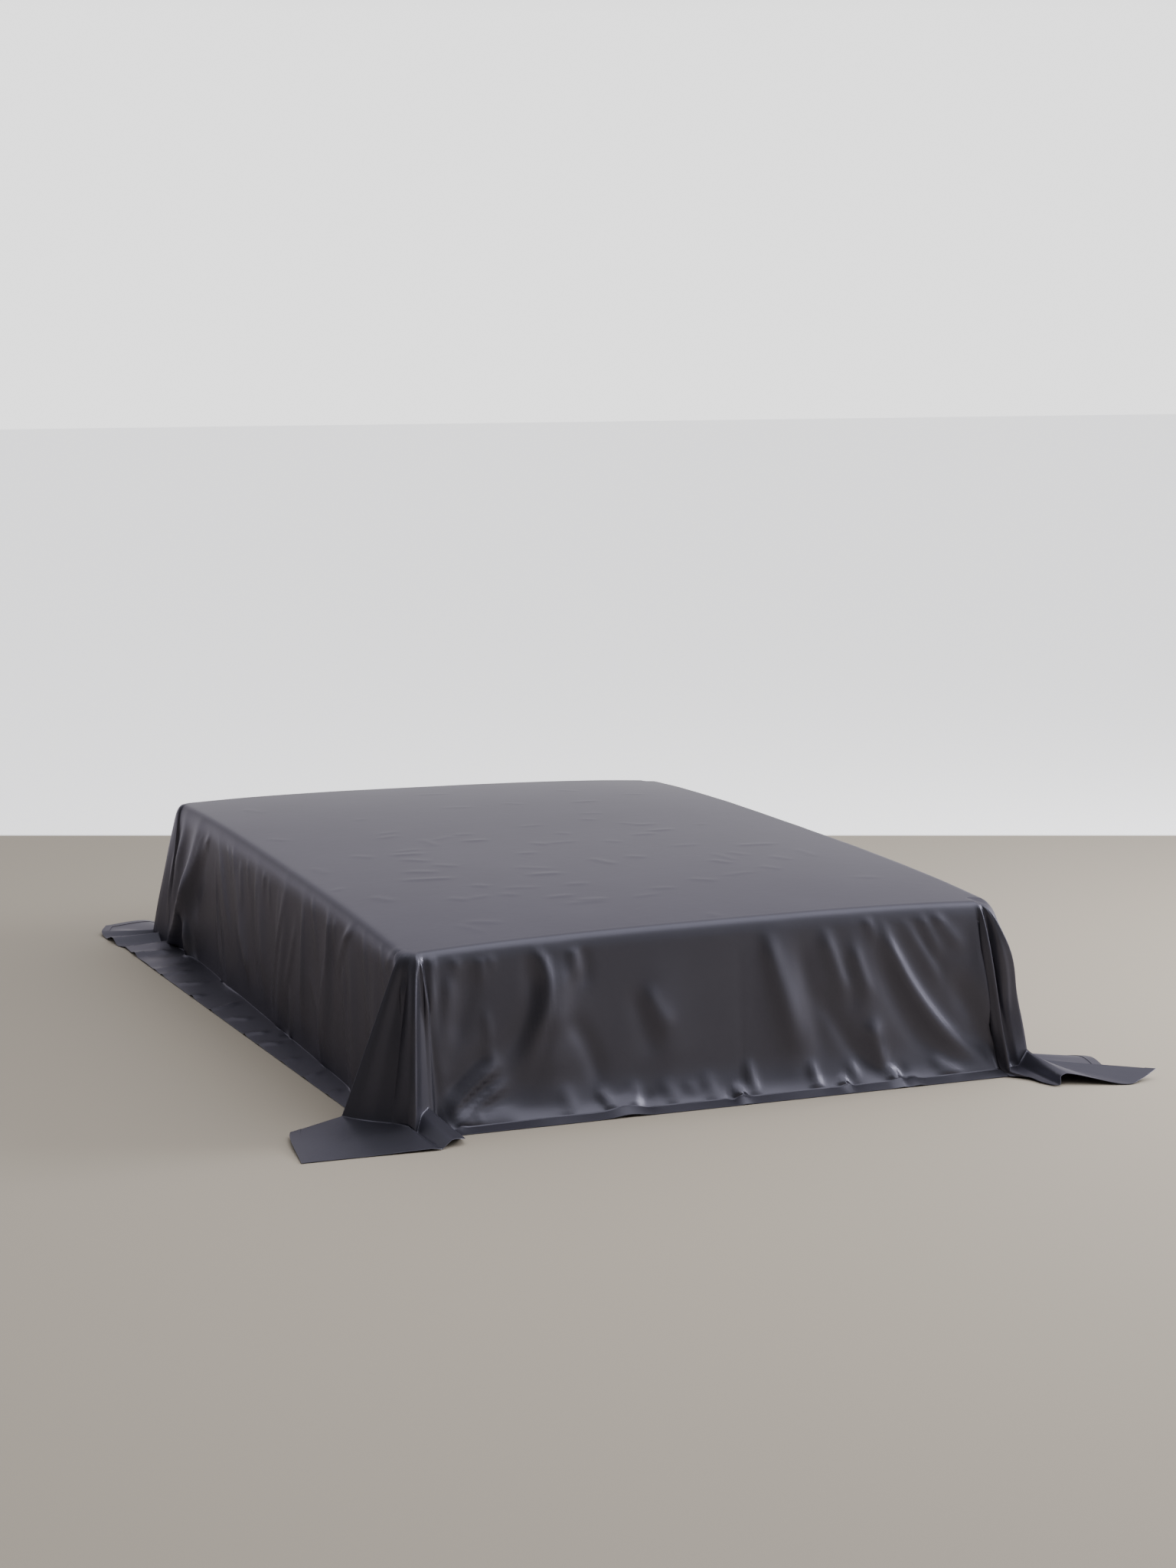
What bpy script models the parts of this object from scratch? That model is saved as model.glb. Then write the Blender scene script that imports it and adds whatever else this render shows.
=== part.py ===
"""A flat sheet of cotton satin draped over a low bed block, lying crumpled on the floor round it.

Metres, +Z up. The origin is on the floor under the middle of the bed, and -Y is the bed's foot end.
The sheet is one cloth: a grid over the bed's top, and a skirt of drop lines all round it. Each drop
line leaves the top, turns over the bed's edge, falls to the floor and runs out along it to the hem.
"""

import math
from collections import namedtuple

import bmesh
import bpy
from mathutils import Vector

COLLECTION = "draped_flat_sheet"

# The bed under the cloth, measured to the middle of the cloth's thickness
BED_WIDTH = 1.40
BED_LENGTH = 2.00
CORNER_HEIGHT = 0.381
BOW_ACROSS = 0.015
BOW_ALONG = 0.020
BOW_POWER = 3
CORNER_TWIST = 0.0075

# The cloth, and how tightly it turns over the edge and onto the floor
CLOTH_THICKNESS = 0.002
EDGE_TURN = 0.040
FLOOR_TURN = 0.035
TOP_MARGIN = 0.050
CLOTH_LEVEL = CLOTH_THICKNESS / 2
STACKED_LAYER = 0.012

# Gaps between the cloth and the bed block, and how round the block's upright corners are
SEAT_GAP = 0.0004
SIDE_GAP = 0.0045
BLOCK_CORNER_TURN = 0.060

# Cells of the cloth's grid on the top, and drop lines to each cell at the four edges
CELLS_ACROSS = 13
CELLS_ALONG = 19
LINES_LEFT = 3
LINES_FRONT = 3
LINES_RIGHT = 2
LINES_BACK = 2
LINES_PER_GUIDE = 2

CLOTH_COLOUR = (0.105, 0.100, 0.112, 1.0)
BLOCK_COLOUR = (0.72, 0.70, 0.66, 1.0)

HALF_X = BED_WIDTH / 2
HALF_Y = BED_LENGTH / 2
TOP_X = HALF_X - TOP_MARGIN
TOP_Y = HALF_Y - TOP_MARGIN

# One side of the skirt: how far the foot and the hem stand out from the bed's side at its two ends
Side = namedtuple("Side", "foot_out hem_out_start hem_out_end")
LEFT = Side(foot_out=0.034, hem_out_start=0.146, hem_out_end=0.046)
FRONT = Side(foot_out=0.028, hem_out_start=0.062, hem_out_end=0.054)
RIGHT = Side(foot_out=0.036, hem_out_start=0.160, hem_out_end=0.120)
BACK = Side(foot_out=0.036, hem_out_start=0.130, hem_out_end=0.145)

# A soft fold down a side: where it starts and lands along the side, how far it stands out at the
# foot, its half width, the share of the drop where it begins, and its height along the floor
Fold = namedtuple("Fold", "top foot out width begins floor_lift")
LEFT_FOLDS = (
    Fold(top=0.88, foot=1.02, out=0.012, width=0.045, begins=0.00, floor_lift=0.002),
    Fold(top=0.62, foot=0.92, out=0.040, width=0.042, begins=0.00, floor_lift=0.012),
    Fold(top=0.84, foot=0.78, out=0.030, width=0.045, begins=0.35, floor_lift=0.006),
    Fold(top=0.54, foot=0.39, out=0.026, width=0.050, begins=0.00, floor_lift=0.006),
    Fold(top=0.40, foot=0.20, out=0.016, width=0.050, begins=0.00, floor_lift=0.003),
    Fold(top=0.10, foot=0.02, out=0.018, width=0.045, begins=0.00, floor_lift=0.003),
    Fold(top=-0.11, foot=-0.10, out=0.018, width=0.040, begins=0.00, floor_lift=0.003),
    Fold(top=-0.24, foot=-0.27, out=0.022, width=0.045, begins=0.00, floor_lift=0.003),
    Fold(top=-0.36, foot=-0.42, out=0.014, width=0.040, begins=0.10, floor_lift=0.000),
    Fold(top=-0.56, foot=-0.54, out=0.018, width=0.045, begins=0.00, floor_lift=0.002),
    Fold(top=-0.68, foot=-0.80, out=0.022, width=0.045, begins=0.00, floor_lift=0.000),
)
FRONT_FOLDS = (
    Fold(top=-0.56, foot=-0.54, out=0.014, width=0.045, begins=0.00, floor_lift=0.002),
    Fold(top=-0.40, foot=-0.45, out=0.022, width=0.050, begins=0.00, floor_lift=0.002),
    Fold(top=-0.27, foot=-0.25, out=0.016, width=0.055, begins=0.00, floor_lift=0.005),
    Fold(top=-0.12, foot=-0.09, out=0.012, width=0.060, begins=0.10, floor_lift=0.002),
    Fold(top=0.08, foot=0.10, out=0.016, width=0.070, begins=0.00, floor_lift=0.003),
    Fold(top=0.22, foot=0.38, out=0.018, width=0.060, begins=0.00, floor_lift=0.004),
    Fold(top=0.33, foot=0.60, out=0.024, width=0.055, begins=0.00, floor_lift=0.002),
)
RIGHT_FOLDS = (
    Fold(top=-0.66, foot=-0.70, out=0.024, width=0.075, begins=0.00, floor_lift=0.004),
    Fold(top=-0.38, foot=-0.33, out=0.020, width=0.070, begins=0.00, floor_lift=0.004),
    Fold(top=-0.10, foot=-0.06, out=0.024, width=0.070, begins=0.00, floor_lift=0.006),
    Fold(top=0.18, foot=0.24, out=0.018, width=0.070, begins=0.00, floor_lift=0.003),
    Fold(top=0.46, foot=0.44, out=0.022, width=0.065, begins=0.00, floor_lift=0.004),
    Fold(top=0.72, foot=0.76, out=0.024, width=0.070, begins=0.00, floor_lift=0.006),
)
BACK_FOLDS = (
    Fold(top=0.42, foot=0.46, out=0.022, width=0.070, begins=0.00, floor_lift=0.005),
    Fold(top=0.14, foot=0.12, out=0.020, width=0.070, begins=0.00, floor_lift=0.004),
    Fold(top=-0.16, foot=-0.20, out=0.024, width=0.070, begins=0.00, floor_lift=0.005),
    Fold(top=-0.44, foot=-0.42, out=0.018, width=0.065, begins=0.00, floor_lift=0.003),
)

# How far the corner drags the side's last drop lines along the side: at the foot and at the hem
Drag = namedtuple("Drag", "at foot hem reach")
LEFT_DRAGS = (Drag(at=TOP_Y, foot=0.020, hem=0.050, reach=0.10),)
FRONT_DRAGS = (
    Drag(at=-TOP_X, foot=0.030, hem=0.060, reach=0.07),
    Drag(at=TOP_X, foot=0.030, hem=0.034, reach=0.10),
)
RIGHT_DRAGS = ()
BACK_DRAGS = ()

# A drop line that leads the cloth round a corner: where it meets the floor, and where the hem lies
Guide = namedtuple("Guide", "foot_x foot_y foot_z hem_x hem_y hem_z")
FRONT_LEFT = (
    Guide(-0.738, -0.978, CLOTH_LEVEL, -0.764, -0.982, CLOTH_LEVEL),
    Guide(-0.744, -0.996, 0.007, -0.774, -1.018, 0.003),
    Guide(-0.798, -0.952, 0.022, -0.915, -0.956, 0.004),
    Guide(-0.812, -0.938, 0.031, -0.926, -0.949, 0.0105),
    Guide(-0.808, -0.985, 0.024, -0.942, -1.010, STACKED_LAYER),
    Guide(-0.786, -1.036, 0.014, -0.958, -1.145, CLOTH_LEVEL),
    Guide(-0.742, -1.066, CLOTH_LEVEL, -0.830, -1.147, CLOTH_LEVEL),
    Guide(-0.702, -1.058, 0.030, -0.690, -1.150, 0.006),
    Guide(-0.678, -1.040, 0.010, -0.652, -1.143, CLOTH_LEVEL),
    Guide(-0.646, -1.062, 0.048, -0.615, -1.140, 0.014),
    Guide(-0.630, -1.034, 0.006, -0.600, -1.085, CLOTH_LEVEL),
)
FRONT_RIGHT = (
    Guide(0.700, -1.022, CLOTH_LEVEL, 0.704, -1.064, CLOTH_LEVEL),
    Guide(0.722, -1.050, 0.014, 0.764, -1.157, 0.008),
    Guide(0.742, -1.004, CLOTH_LEVEL, 0.782, -1.130, CLOTH_LEVEL),
    Guide(0.762, -1.026, 0.030, 0.802, -1.146, 0.014),
    Guide(0.776, -1.010, 0.006, 0.915, -1.202, CLOTH_LEVEL),
    Guide(0.780, -1.002, 0.010, 1.000, -1.168, 0.004),
    Guide(0.782, -0.994, 0.014, 1.040, -1.140, 0.010),
    Guide(0.783, -0.986, 0.018, 0.970, -1.088, 0.008),
    Guide(0.790, -0.984, 0.024, 0.984, -1.015, 0.009),
    Guide(0.788, -0.966, 0.028, 0.974, -0.960, 0.005),
    Guide(0.764, -0.955, 0.010, 0.912, -0.953, CLOTH_LEVEL),
)
BACK_RIGHT = (
    Guide(0.748, 0.995, CLOTH_LEVEL, 0.850, 1.020, CLOTH_LEVEL),
    Guide(0.792, 1.035, 0.024, 0.925, 1.110, 0.004),
    Guide(0.765, 1.062, 0.006, 0.935, 1.250, CLOTH_LEVEL),
    Guide(0.728, 1.058, CLOTH_LEVEL, 0.815, 1.245, CLOTH_LEVEL),
    Guide(0.704, 1.092, 0.024, 0.730, 1.225, 0.006),
    Guide(0.676, 1.045, CLOTH_LEVEL, 0.685, 1.165, CLOTH_LEVEL),
)
BACK_LEFT = (
    Guide(-0.672, 1.050, CLOTH_LEVEL, -0.672, 1.205, CLOTH_LEVEL),
    Guide(-0.704, 1.098, 0.022, -0.722, 1.280, 0.005),
    Guide(-0.728, 1.080, 0.004, -0.838, 1.293, CLOTH_LEVEL),
    Guide(-0.752, 1.105, 0.020, -0.866, 1.205, 0.008),
    Guide(-0.746, 1.030, CLOTH_LEVEL, -0.858, 1.090, CLOTH_LEVEL),
)


def smooth_step(value):
    value = min(max(value, 0.0), 1.0)
    return value * value * (3.0 - 2.0 * value)


def crown(x, y):
    """Height of the cloth's middle over the bed's top: bowed up between corners that aren't level."""
    across = BOW_ACROSS * (1.0 - abs(x / HALF_X) ** BOW_POWER)
    along = BOW_ALONG * (1.0 - abs(y / HALF_Y) ** BOW_POWER)
    return CORNER_HEIGHT + across + along - CORNER_TWIST * (x / HALF_X) * (y / HALF_Y)


def turned(before, corner, after, cut_before, cut_after, share):
    """A point on the soft turn that a line takes at a corner."""
    start = corner + (before - corner).normalized() * cut_before
    end = corner + (after - corner).normalized() * cut_after
    return start.lerp(corner, share).lerp(corner.lerp(end, share), share)


def drop_line(start, edge, foot, hem):
    """The points of one drop line, from the bed's top to the hem, with each one's share of the fall."""
    run = (hem - foot).length
    turn_out = min(FLOOR_TURN, 0.45 * run)
    over_edge = [turned(start, edge, foot, EDGE_TURN, EDGE_TURN, share) for share in (0.0, 1 / 3, 2 / 3, 1.0)]
    to_floor = [turned(edge, foot, hem, FLOOR_TURN, turn_out, share) for share in (0.0, 0.5, 1.0)]
    middle = over_edge[-1].lerp(to_floor[0], 0.5)
    along_floor = [to_floor[-1].lerp(hem, 0.5), hem]
    points = [start] + over_edge + [middle] + to_floor + along_floor
    shares = (0.0, 0.0, 0.0, 0.0, 0.1, 0.5, 0.9, 0.97, 1.0, 1.0, 1.0)
    return points, shares


ROWS = 11
ON_FLOOR = 8
FALL_SWELL = (0.0, 0.0, 0.2, 0.5, 0.9, 1.0, 0.3, 0.1, 0.0, 0.0, 0.0)


def fold_out(folds, place, share, room):
    """How far the folds push a side out from the bed, easing off near the hem's own line."""
    total = 0.0
    for fold in folds:
        centre = fold.top + (fold.foot - fold.top) * share
        grown = smooth_step(1.5 * (share - fold.begins) / (1.0 - fold.begins))
        total += fold.out * grown * math.exp(-(((place - centre) / fold.width) ** 2))
    limit = room + 0.08 * (1.0 - share)
    return limit * math.tanh(total / limit)


def floor_lift(folds, place):
    """How high the folds' ends lift the cloth where it lies on the floor."""
    return sum(fold.floor_lift * math.exp(-(((place - fold.foot) / fold.width) ** 2)) for fold in folds)


def side_line(side, folds, drags, along, outward, half_out, place, share_along):
    """One drop line of a straight side, at a place along it."""
    hem_out = side.hem_out_start + (side.hem_out_end - side.hem_out_start) * share_along
    pulls = [math.exp(-abs(place - drag.at) / drag.reach) for drag in drags]
    foot_drag = sum(drag.foot * pull for drag, pull in zip(drags, pulls))
    hem_drag = sum(drag.hem * pull for drag, pull in zip(drags, pulls))

    def spot(out, shift, height):
        flat = outward * out + along * (place + shift)
        return Vector((flat.x, flat.y, height))

    start = spot(half_out - TOP_MARGIN, 0.0, 0.0)
    start.z = crown(start.x, start.y)
    edge = spot(half_out, 0.0, 0.0)
    edge.z = crown(edge.x, edge.y)
    foot = spot(half_out + side.foot_out, foot_drag, CLOTH_LEVEL)
    hem = spot(half_out + hem_out, hem_drag, CLOTH_LEVEL)
    points, shares = drop_line(start, edge, foot, hem)
    lift = floor_lift(folds, place)
    room = 0.7 * (hem_out - side.foot_out) - 0.004
    push = outward.to_3d()
    for row, (point, share) in enumerate(zip(points, shares)):
        if row < ON_FLOOR:
            point += push * fold_out(folds, place, share, room)
        elif row == ON_FLOOR:
            point += push * 0.5 * fold_out(folds, place, share, room)
            point.z += lift
        else:
            point.z += lift * (0.9 if row == ON_FLOOR + 1 else 0.45)
    return points


def side_lines(side, folds, drags, along, outward, half_out, half_along, first, last, cells, lines):
    """All the drop lines of a side, from its first end to its last."""
    count = cells * lines
    made = []
    for index in range(count + 1):
        share = index / count
        place = first + (last - first) * share
        made.append(side_line(side, folds, drags, along, outward, half_out, place, share))
    return made


def catmull(a, b, c, d, share):
    """A point between b and c on the smooth curve through four points."""
    square, cube = share * share, share**3
    return 0.5 * (
        2.0 * b + (c - a) * share + (2.0 * a - 5.0 * b + 4.0 * c - d) * square + (3.0 * b - a - 3.0 * c + d) * cube
    )


def corner_lines(guides, shoulder, bulge, before, after, sign_x, sign_y, from_x):
    """Drop lines round a corner, between a side's last line and the next side's first one."""
    feet = [foot_of(before)] + [Vector((g.foot_x, g.foot_y, g.foot_z)) for g in guides] + [foot_of(after)]
    hems = [before[-1]] + [Vector((g.hem_x, g.hem_y, g.hem_z)) for g in guides] + [after[-1]]
    start = Vector((sign_x * TOP_X, sign_y * TOP_Y, crown(sign_x * TOP_X, sign_y * TOP_Y)))
    count = (len(feet) - 1) * LINES_PER_GUIDE
    made = []
    for index in range(1, count):
        guide, step = divmod(index, LINES_PER_GUIDE)
        share = step / LINES_PER_GUIDE
        near = [min(max(guide + offset, 0), len(feet) - 1) for offset in (-1, 0, 1, 2)]
        foot = catmull(*[feet[i] for i in near], share)
        hem = catmull(*[hems[i] for i in near], share)
        foot.z = max(foot.z, CLOTH_LEVEL)
        hem.z = max(hem.z, CLOTH_LEVEL)
        turn = math.radians(90.0 * index / count)
        out_x, out_y = (math.cos(turn), math.sin(turn)) if from_x else (math.sin(turn), math.cos(turn))
        reach = TOP_MARGIN + shoulder * math.sin(math.pi * index / count)
        edge_x = sign_x * (TOP_X + reach * out_x)
        edge_y = sign_y * (TOP_Y + reach * out_y)
        edge = Vector((edge_x, edge_y, crown(edge_x, edge_y)))
        points, shares = drop_line(start, edge, foot, hem)
        push = Vector((sign_x * out_x, sign_y * out_y, 0.0)) * bulge * math.sin(math.pi * index / count)
        points = [point + push * swell for point, swell in zip(points, FALL_SWELL)]
        made.append([Vector((p.x, p.y, max(p.z, CLOTH_LEVEL))) for p in points])
    return made


def foot_of(line):
    """Where a finished drop line meets the floor."""
    return Vector((line[ON_FLOOR - 1].x, line[ON_FLOOR - 1].y, CLOTH_LEVEL))


def skirt_lines():
    """Every drop line of the skirt, once round the bed."""
    right_axis, back_axis = Vector((1.0, 0.0)), Vector((0.0, 1.0))
    left = side_lines(LEFT, LEFT_FOLDS, LEFT_DRAGS, back_axis, -right_axis, HALF_X, HALF_Y, TOP_Y, -TOP_Y,
                      CELLS_ALONG, LINES_LEFT)
    front = side_lines(FRONT, FRONT_FOLDS, FRONT_DRAGS, right_axis, -back_axis, HALF_Y, HALF_X, -TOP_X, TOP_X,
                       CELLS_ACROSS, LINES_FRONT)
    right = side_lines(RIGHT, RIGHT_FOLDS, RIGHT_DRAGS, back_axis, right_axis, HALF_X, HALF_Y, -TOP_Y, TOP_Y,
                       CELLS_ALONG, LINES_RIGHT)
    back = side_lines(BACK, BACK_FOLDS, BACK_DRAGS, right_axis, back_axis, HALF_Y, HALF_X, TOP_X, -TOP_X,
                      CELLS_ACROSS, LINES_BACK)
    front_left = corner_lines(FRONT_LEFT, 0.004, 0.0, left[-1], front[0], -1, -1, True)
    front_right = corner_lines(FRONT_RIGHT, 0.008, 0.010, front[-1], right[0], 1, -1, False)
    back_right = corner_lines(BACK_RIGHT, 0.010, 0.006, right[-1], back[0], 1, 1, True)
    back_left = corner_lines(BACK_LEFT, 0.016, 0.006, back[-1], left[0], -1, 1, False)
    return left + front_left + front + front_right + right + back_right + back + back_left


def grid_mesh(bm, columns, rows, places):
    """A grid of cells whose points are moved to their places, given column by column in each row."""
    before = set(bm.verts)
    bmesh.ops.create_grid(bm, x_segments=columns, y_segments=rows, size=0.5)
    points = [vertex for vertex in bm.verts if vertex not in before]
    for vertex, place in zip(points, places, strict=True):
        vertex.co = place
    return points


def add_cloth_top(bm):
    """The cloth over the bed's top, with its border cut where the drop lines start."""
    step_x, step_y = 2 * TOP_X / CELLS_ACROSS, 2 * TOP_Y / CELLS_ALONG
    places = [
        Vector((-TOP_X + step_x * column, -TOP_Y + step_y * row, 0.0))
        for row in range(CELLS_ALONG + 1)
        for column in range(CELLS_ACROSS + 1)
    ]
    points = set(grid_mesh(bm, CELLS_ACROSS, CELLS_ALONG, places))
    edges = [edge for edge in bm.edges if edge.is_boundary and edge.verts[0] in points]

    def on_line(edge, axis, value):
        return all(abs(vertex.co[axis] - value) < 1e-5 for vertex in edge.verts)

    cuts = ((0, -TOP_X, LINES_LEFT), (0, TOP_X, LINES_RIGHT), (1, -TOP_Y, LINES_FRONT), (1, TOP_Y, LINES_BACK))
    for axis, value, lines in cuts:
        chosen = [edge for edge in edges if edge.is_valid and on_line(edge, axis, value)]
        bmesh.ops.subdivide_edges(bm, edges=chosen, cuts=lines - 1)
    for vertex in bm.verts:
        vertex.co.z = crown(vertex.co.x, vertex.co.y)


def make_sheet(material):
    """The whole sheet as one open surface, given its thickness by Solidify."""
    bm = bmesh.new()
    add_cloth_top(bm)
    lines = skirt_lines()
    lines.append(lines[0])
    places = [line[row] for row in range(ROWS) for line in lines]
    grid_mesh(bm, len(lines) - 1, ROWS - 1, places)
    bmesh.ops.remove_doubles(bm, verts=bm.verts, dist=0.00005)
    bmesh.ops.recalc_face_normals(bm, faces=bm.faces)
    top = max(bm.faces, key=lambda face: face.calc_center_median().z)
    if top.normal.z < 0.0:
        bmesh.ops.reverse_faces(bm, faces=bm.faces)
    mesh = bpy.data.meshes.new("sheet")
    bm.to_mesh(mesh)
    bm.free()
    mesh.shade_smooth()
    mesh.materials.append(material)
    sheet = bpy.data.objects.new("sheet", mesh)
    solid = sheet.modifiers.new("thickness", "SOLIDIFY")
    solid.thickness = CLOTH_THICKNESS
    solid.offset = 0.0
    return sheet


def make_bed_block(material):
    """The plain bed block: a box with soft edges whose top bows as the cloth on it does."""
    half_x, half_y = HALF_X - SIDE_GAP, HALF_Y - SIDE_GAP
    height = crown(0.0, 0.0) - CLOTH_THICKNESS / 2 - SEAT_GAP
    bm = bmesh.new()
    bmesh.ops.create_cube(bm, size=1.0)
    for vertex in bm.verts:
        vertex.co = Vector((2 * half_x * vertex.co.x, 2 * half_y * vertex.co.y, height * (vertex.co.z + 0.5)))
    upright = [edge for edge in bm.edges if abs(edge.verts[0].co.z - edge.verts[1].co.z) > 0.1]
    bmesh.ops.bevel(bm, geom=upright, offset=BLOCK_CORNER_TURN, offset_type="OFFSET", segments=4, profile=0.5,
                    affect="EDGES")
    rim = [edge for edge in bm.edges if min(vertex.co.z for vertex in edge.verts) > height - 1e-4]
    bmesh.ops.bevel(bm, geom=rim, offset=TOP_MARGIN - SIDE_GAP, offset_type="OFFSET", segments=3, profile=0.5,
                    affect="EDGES")
    for axis, inner, cells in ((0, TOP_X, CELLS_ACROSS), (1, TOP_Y, CELLS_ALONG)):
        normal = Vector((1, 0, 0)) if axis == 0 else Vector((0, 1, 0))
        for index in range(1, cells):
            geometry = bm.verts[:] + bm.edges[:] + bm.faces[:]
            place = normal * (-inner + 2 * inner * index / cells)
            bmesh.ops.bisect_plane(bm, geom=geometry, plane_co=place, plane_no=normal, dist=1e-5)
    for vertex in bm.verts:
        if vertex.co.z > 0.5 * height:
            vertex.co.z += crown(vertex.co.x, vertex.co.y) - crown(0.0, 0.0)
    base = [face for face in bm.faces if face.normal.z < -0.9]
    base_edges = {edge for face in base for edge in face.edges}
    base_points = {vertex for face in base for vertex in face.verts}
    bmesh.ops.dissolve_limit(bm, angle_limit=0.001, verts=list(base_points), edges=list(base_edges))
    bmesh.ops.recalc_face_normals(bm, faces=bm.faces)
    mesh = bpy.data.meshes.new("bed_block")
    bm.to_mesh(mesh)
    bm.free()
    mesh.shade_smooth()
    mesh.materials.append(material)
    return bpy.data.objects.new("bed_block", mesh)


def make_material(name, colour, roughness, sheen):
    material = bpy.data.materials.new(name)
    material.use_nodes = True
    shader = material.node_tree.nodes["Principled BSDF"]
    shader.inputs["Base Color"].default_value = colour
    shader.inputs["Roughness"].default_value = roughness
    shader.inputs["Metallic"].default_value = 0.0
    shader.inputs["Sheen Weight"].default_value = sheen
    return material


for leftover in list(bpy.data.objects):
    bpy.data.objects.remove(leftover)

collection = bpy.data.collections.new(COLLECTION)
bpy.context.scene.collection.children.link(collection)
collection.objects.link(make_sheet(make_material("charcoal_satin", CLOTH_COLOUR, 0.42, 0.2)))
collection.objects.link(make_bed_block(make_material("bed_ticking", BLOCK_COLOUR, 0.9, 0.0)))
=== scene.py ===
"""A flat sheet of charcoal cotton satin, draped over a low bed and lying crumpled on the floor round it."""

import math
from collections import namedtuple

import bmesh
import bpy
import numpy as np
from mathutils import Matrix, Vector
from mathutils.kdtree import KDTree


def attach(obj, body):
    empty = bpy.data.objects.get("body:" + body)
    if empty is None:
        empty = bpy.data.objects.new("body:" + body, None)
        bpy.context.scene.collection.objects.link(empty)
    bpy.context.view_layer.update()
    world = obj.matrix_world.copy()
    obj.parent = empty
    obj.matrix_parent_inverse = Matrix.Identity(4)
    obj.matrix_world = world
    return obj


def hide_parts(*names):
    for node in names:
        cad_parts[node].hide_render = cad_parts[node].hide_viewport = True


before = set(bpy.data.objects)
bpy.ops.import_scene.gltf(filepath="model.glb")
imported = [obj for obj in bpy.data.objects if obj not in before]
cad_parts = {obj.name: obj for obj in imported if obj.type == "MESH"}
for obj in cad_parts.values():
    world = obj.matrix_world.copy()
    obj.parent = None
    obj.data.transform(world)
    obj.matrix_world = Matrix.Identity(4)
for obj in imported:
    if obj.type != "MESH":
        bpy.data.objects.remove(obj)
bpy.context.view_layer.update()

# The bed
# A low divan, of which the sheet leaves nothing to see. It is a foam block in a tightly
# fitted cover of striped cotton ticking, and it stands straight on the floor.
HALF_WIDTH = 0.70
HALF_LENGTH = 1.00
CORNER_HEIGHT = 0.381
BOW_ACROSS = 0.015
BOW_ALONG = 0.020
BOW_POWER = 3
CORNER_TWIST = 0.0075
TICKING_PALE = (0.62, 0.59, 0.53, 1.0)
TICKING_STRIPE = (0.30, 0.31, 0.34, 1.0)
STRIPE_PITCH = 0.024


def bed_top(x, y):
    """Height of the cloth's middle over the bed: bowed up between four corners that aren't level."""
    across = BOW_ACROSS * (1.0 - np.abs(x / HALF_WIDTH) ** BOW_POWER)
    along = BOW_ALONG * (1.0 - np.abs(y / HALF_LENGTH) ** BOW_POWER)
    return CORNER_HEIGHT + across + along - CORNER_TWIST * (x / HALF_WIDTH) * (y / HALF_LENGTH)


def new_material(name):
    """A material with its node tree, its shader and a short way to add and join nodes."""
    material = bpy.data.materials.new(name)
    material.use_nodes = True
    tree = material.node_tree
    shader = tree.nodes["Principled BSDF"]

    def node(kind, **values):
        made = tree.nodes.new(kind)
        for key, value in values.items():
            if key in made.inputs:
                made.inputs[key].default_value = value
            else:
                setattr(made, key, value)
        return made

    return material, shader, node, tree.links.new


def ticking():
    """Pale cotton with narrow woven stripes and the small hollows of a twill."""
    material, shader, node, join = new_material("bed_ticking")
    place = node("ShaderNodeTexCoord")
    stripes = node("ShaderNodeTexWave", Scale=math.pi / (10 * STRIPE_PITCH), Distortion=0.15)
    colours = node("ShaderNodeValToRGB")
    colours.color_ramp.elements[0].position = 0.80
    colours.color_ramp.elements[0].color = TICKING_PALE
    colours.color_ramp.elements[1].position = 0.90
    colours.color_ramp.elements[1].color = TICKING_STRIPE
    twill = node("ShaderNodeTexWave", bands_direction="DIAGONAL", Scale=160.0, Distortion=0.6)
    bump = node("ShaderNodeBump", Strength=0.25, Distance=0.0004)
    join(place.outputs["Object"], stripes.inputs["Vector"])
    join(place.outputs["Object"], twill.inputs["Vector"])
    join(stripes.outputs["Fac"], colours.inputs["Fac"])
    join(colours.outputs["Color"], shader.inputs["Base Color"])
    join(twill.outputs["Fac"], bump.inputs["Height"])
    join(bump.outputs["Normal"], shader.inputs["Normal"])
    shader.inputs["Roughness"].default_value = 0.88
    shader.inputs["Sheen Weight"].default_value = 0.25
    return material


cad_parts["bed_block"].material_slots[0].material = ticking()

# The sheet
# One width of mercerised cotton satin, dyed charcoal. It was thrown flat over the bed, so it hangs
# free on all four sides, and its spare length lies on the floor with the corners folded as they fell.
CLOTH_LEVEL = 0.001
EDGE_IN = 0.018
TOP_MARGIN = 0.050
TOP_X = HALF_WIDTH - TOP_MARGIN
TOP_Y = HALF_LENGTH - TOP_MARGIN
CELL = 0.0175
CELLS_ACROSS = round(2 * TOP_X / CELL)
CELLS_ALONG = round(2 * TOP_Y / CELL)

# Each side: how far out its foot's line lies and how high, how far out the hem lies at its start and its
# end, the turn down from the edge, the turn at the floor, the way along it and outward, the bed's half size
# there, and where along it the straight part starts and ends
Side = namedtuple(
    "Side",
    "foot_out foot_up hem_out_start hem_out_end edge_down turn_up turn_out"
    " along outward half_out first last",
)
RIGHTWARD, BACKWARD = np.array((1.0, 0.0)), np.array((0.0, 1.0))
LEFT = Side(
    0.010, 0.012, 0.146, 0.046, 0.060, 0.001, 0.001,
    BACKWARD, -RIGHTWARD, HALF_WIDTH, TOP_Y, -TOP_Y,
)
FRONT = Side(
    0.012, 0.014, 0.066, 0.058, 0.040, 0.080, 0.045,
    RIGHTWARD, -BACKWARD, HALF_LENGTH, -TOP_X, TOP_X,
)
RIGHT = Side(
    0.036, 0.001, 0.160, 0.120, 0.060, 0.030, 0.030,
    BACKWARD, RIGHTWARD, HALF_WIDTH, -TOP_Y, TOP_Y,
)
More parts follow.
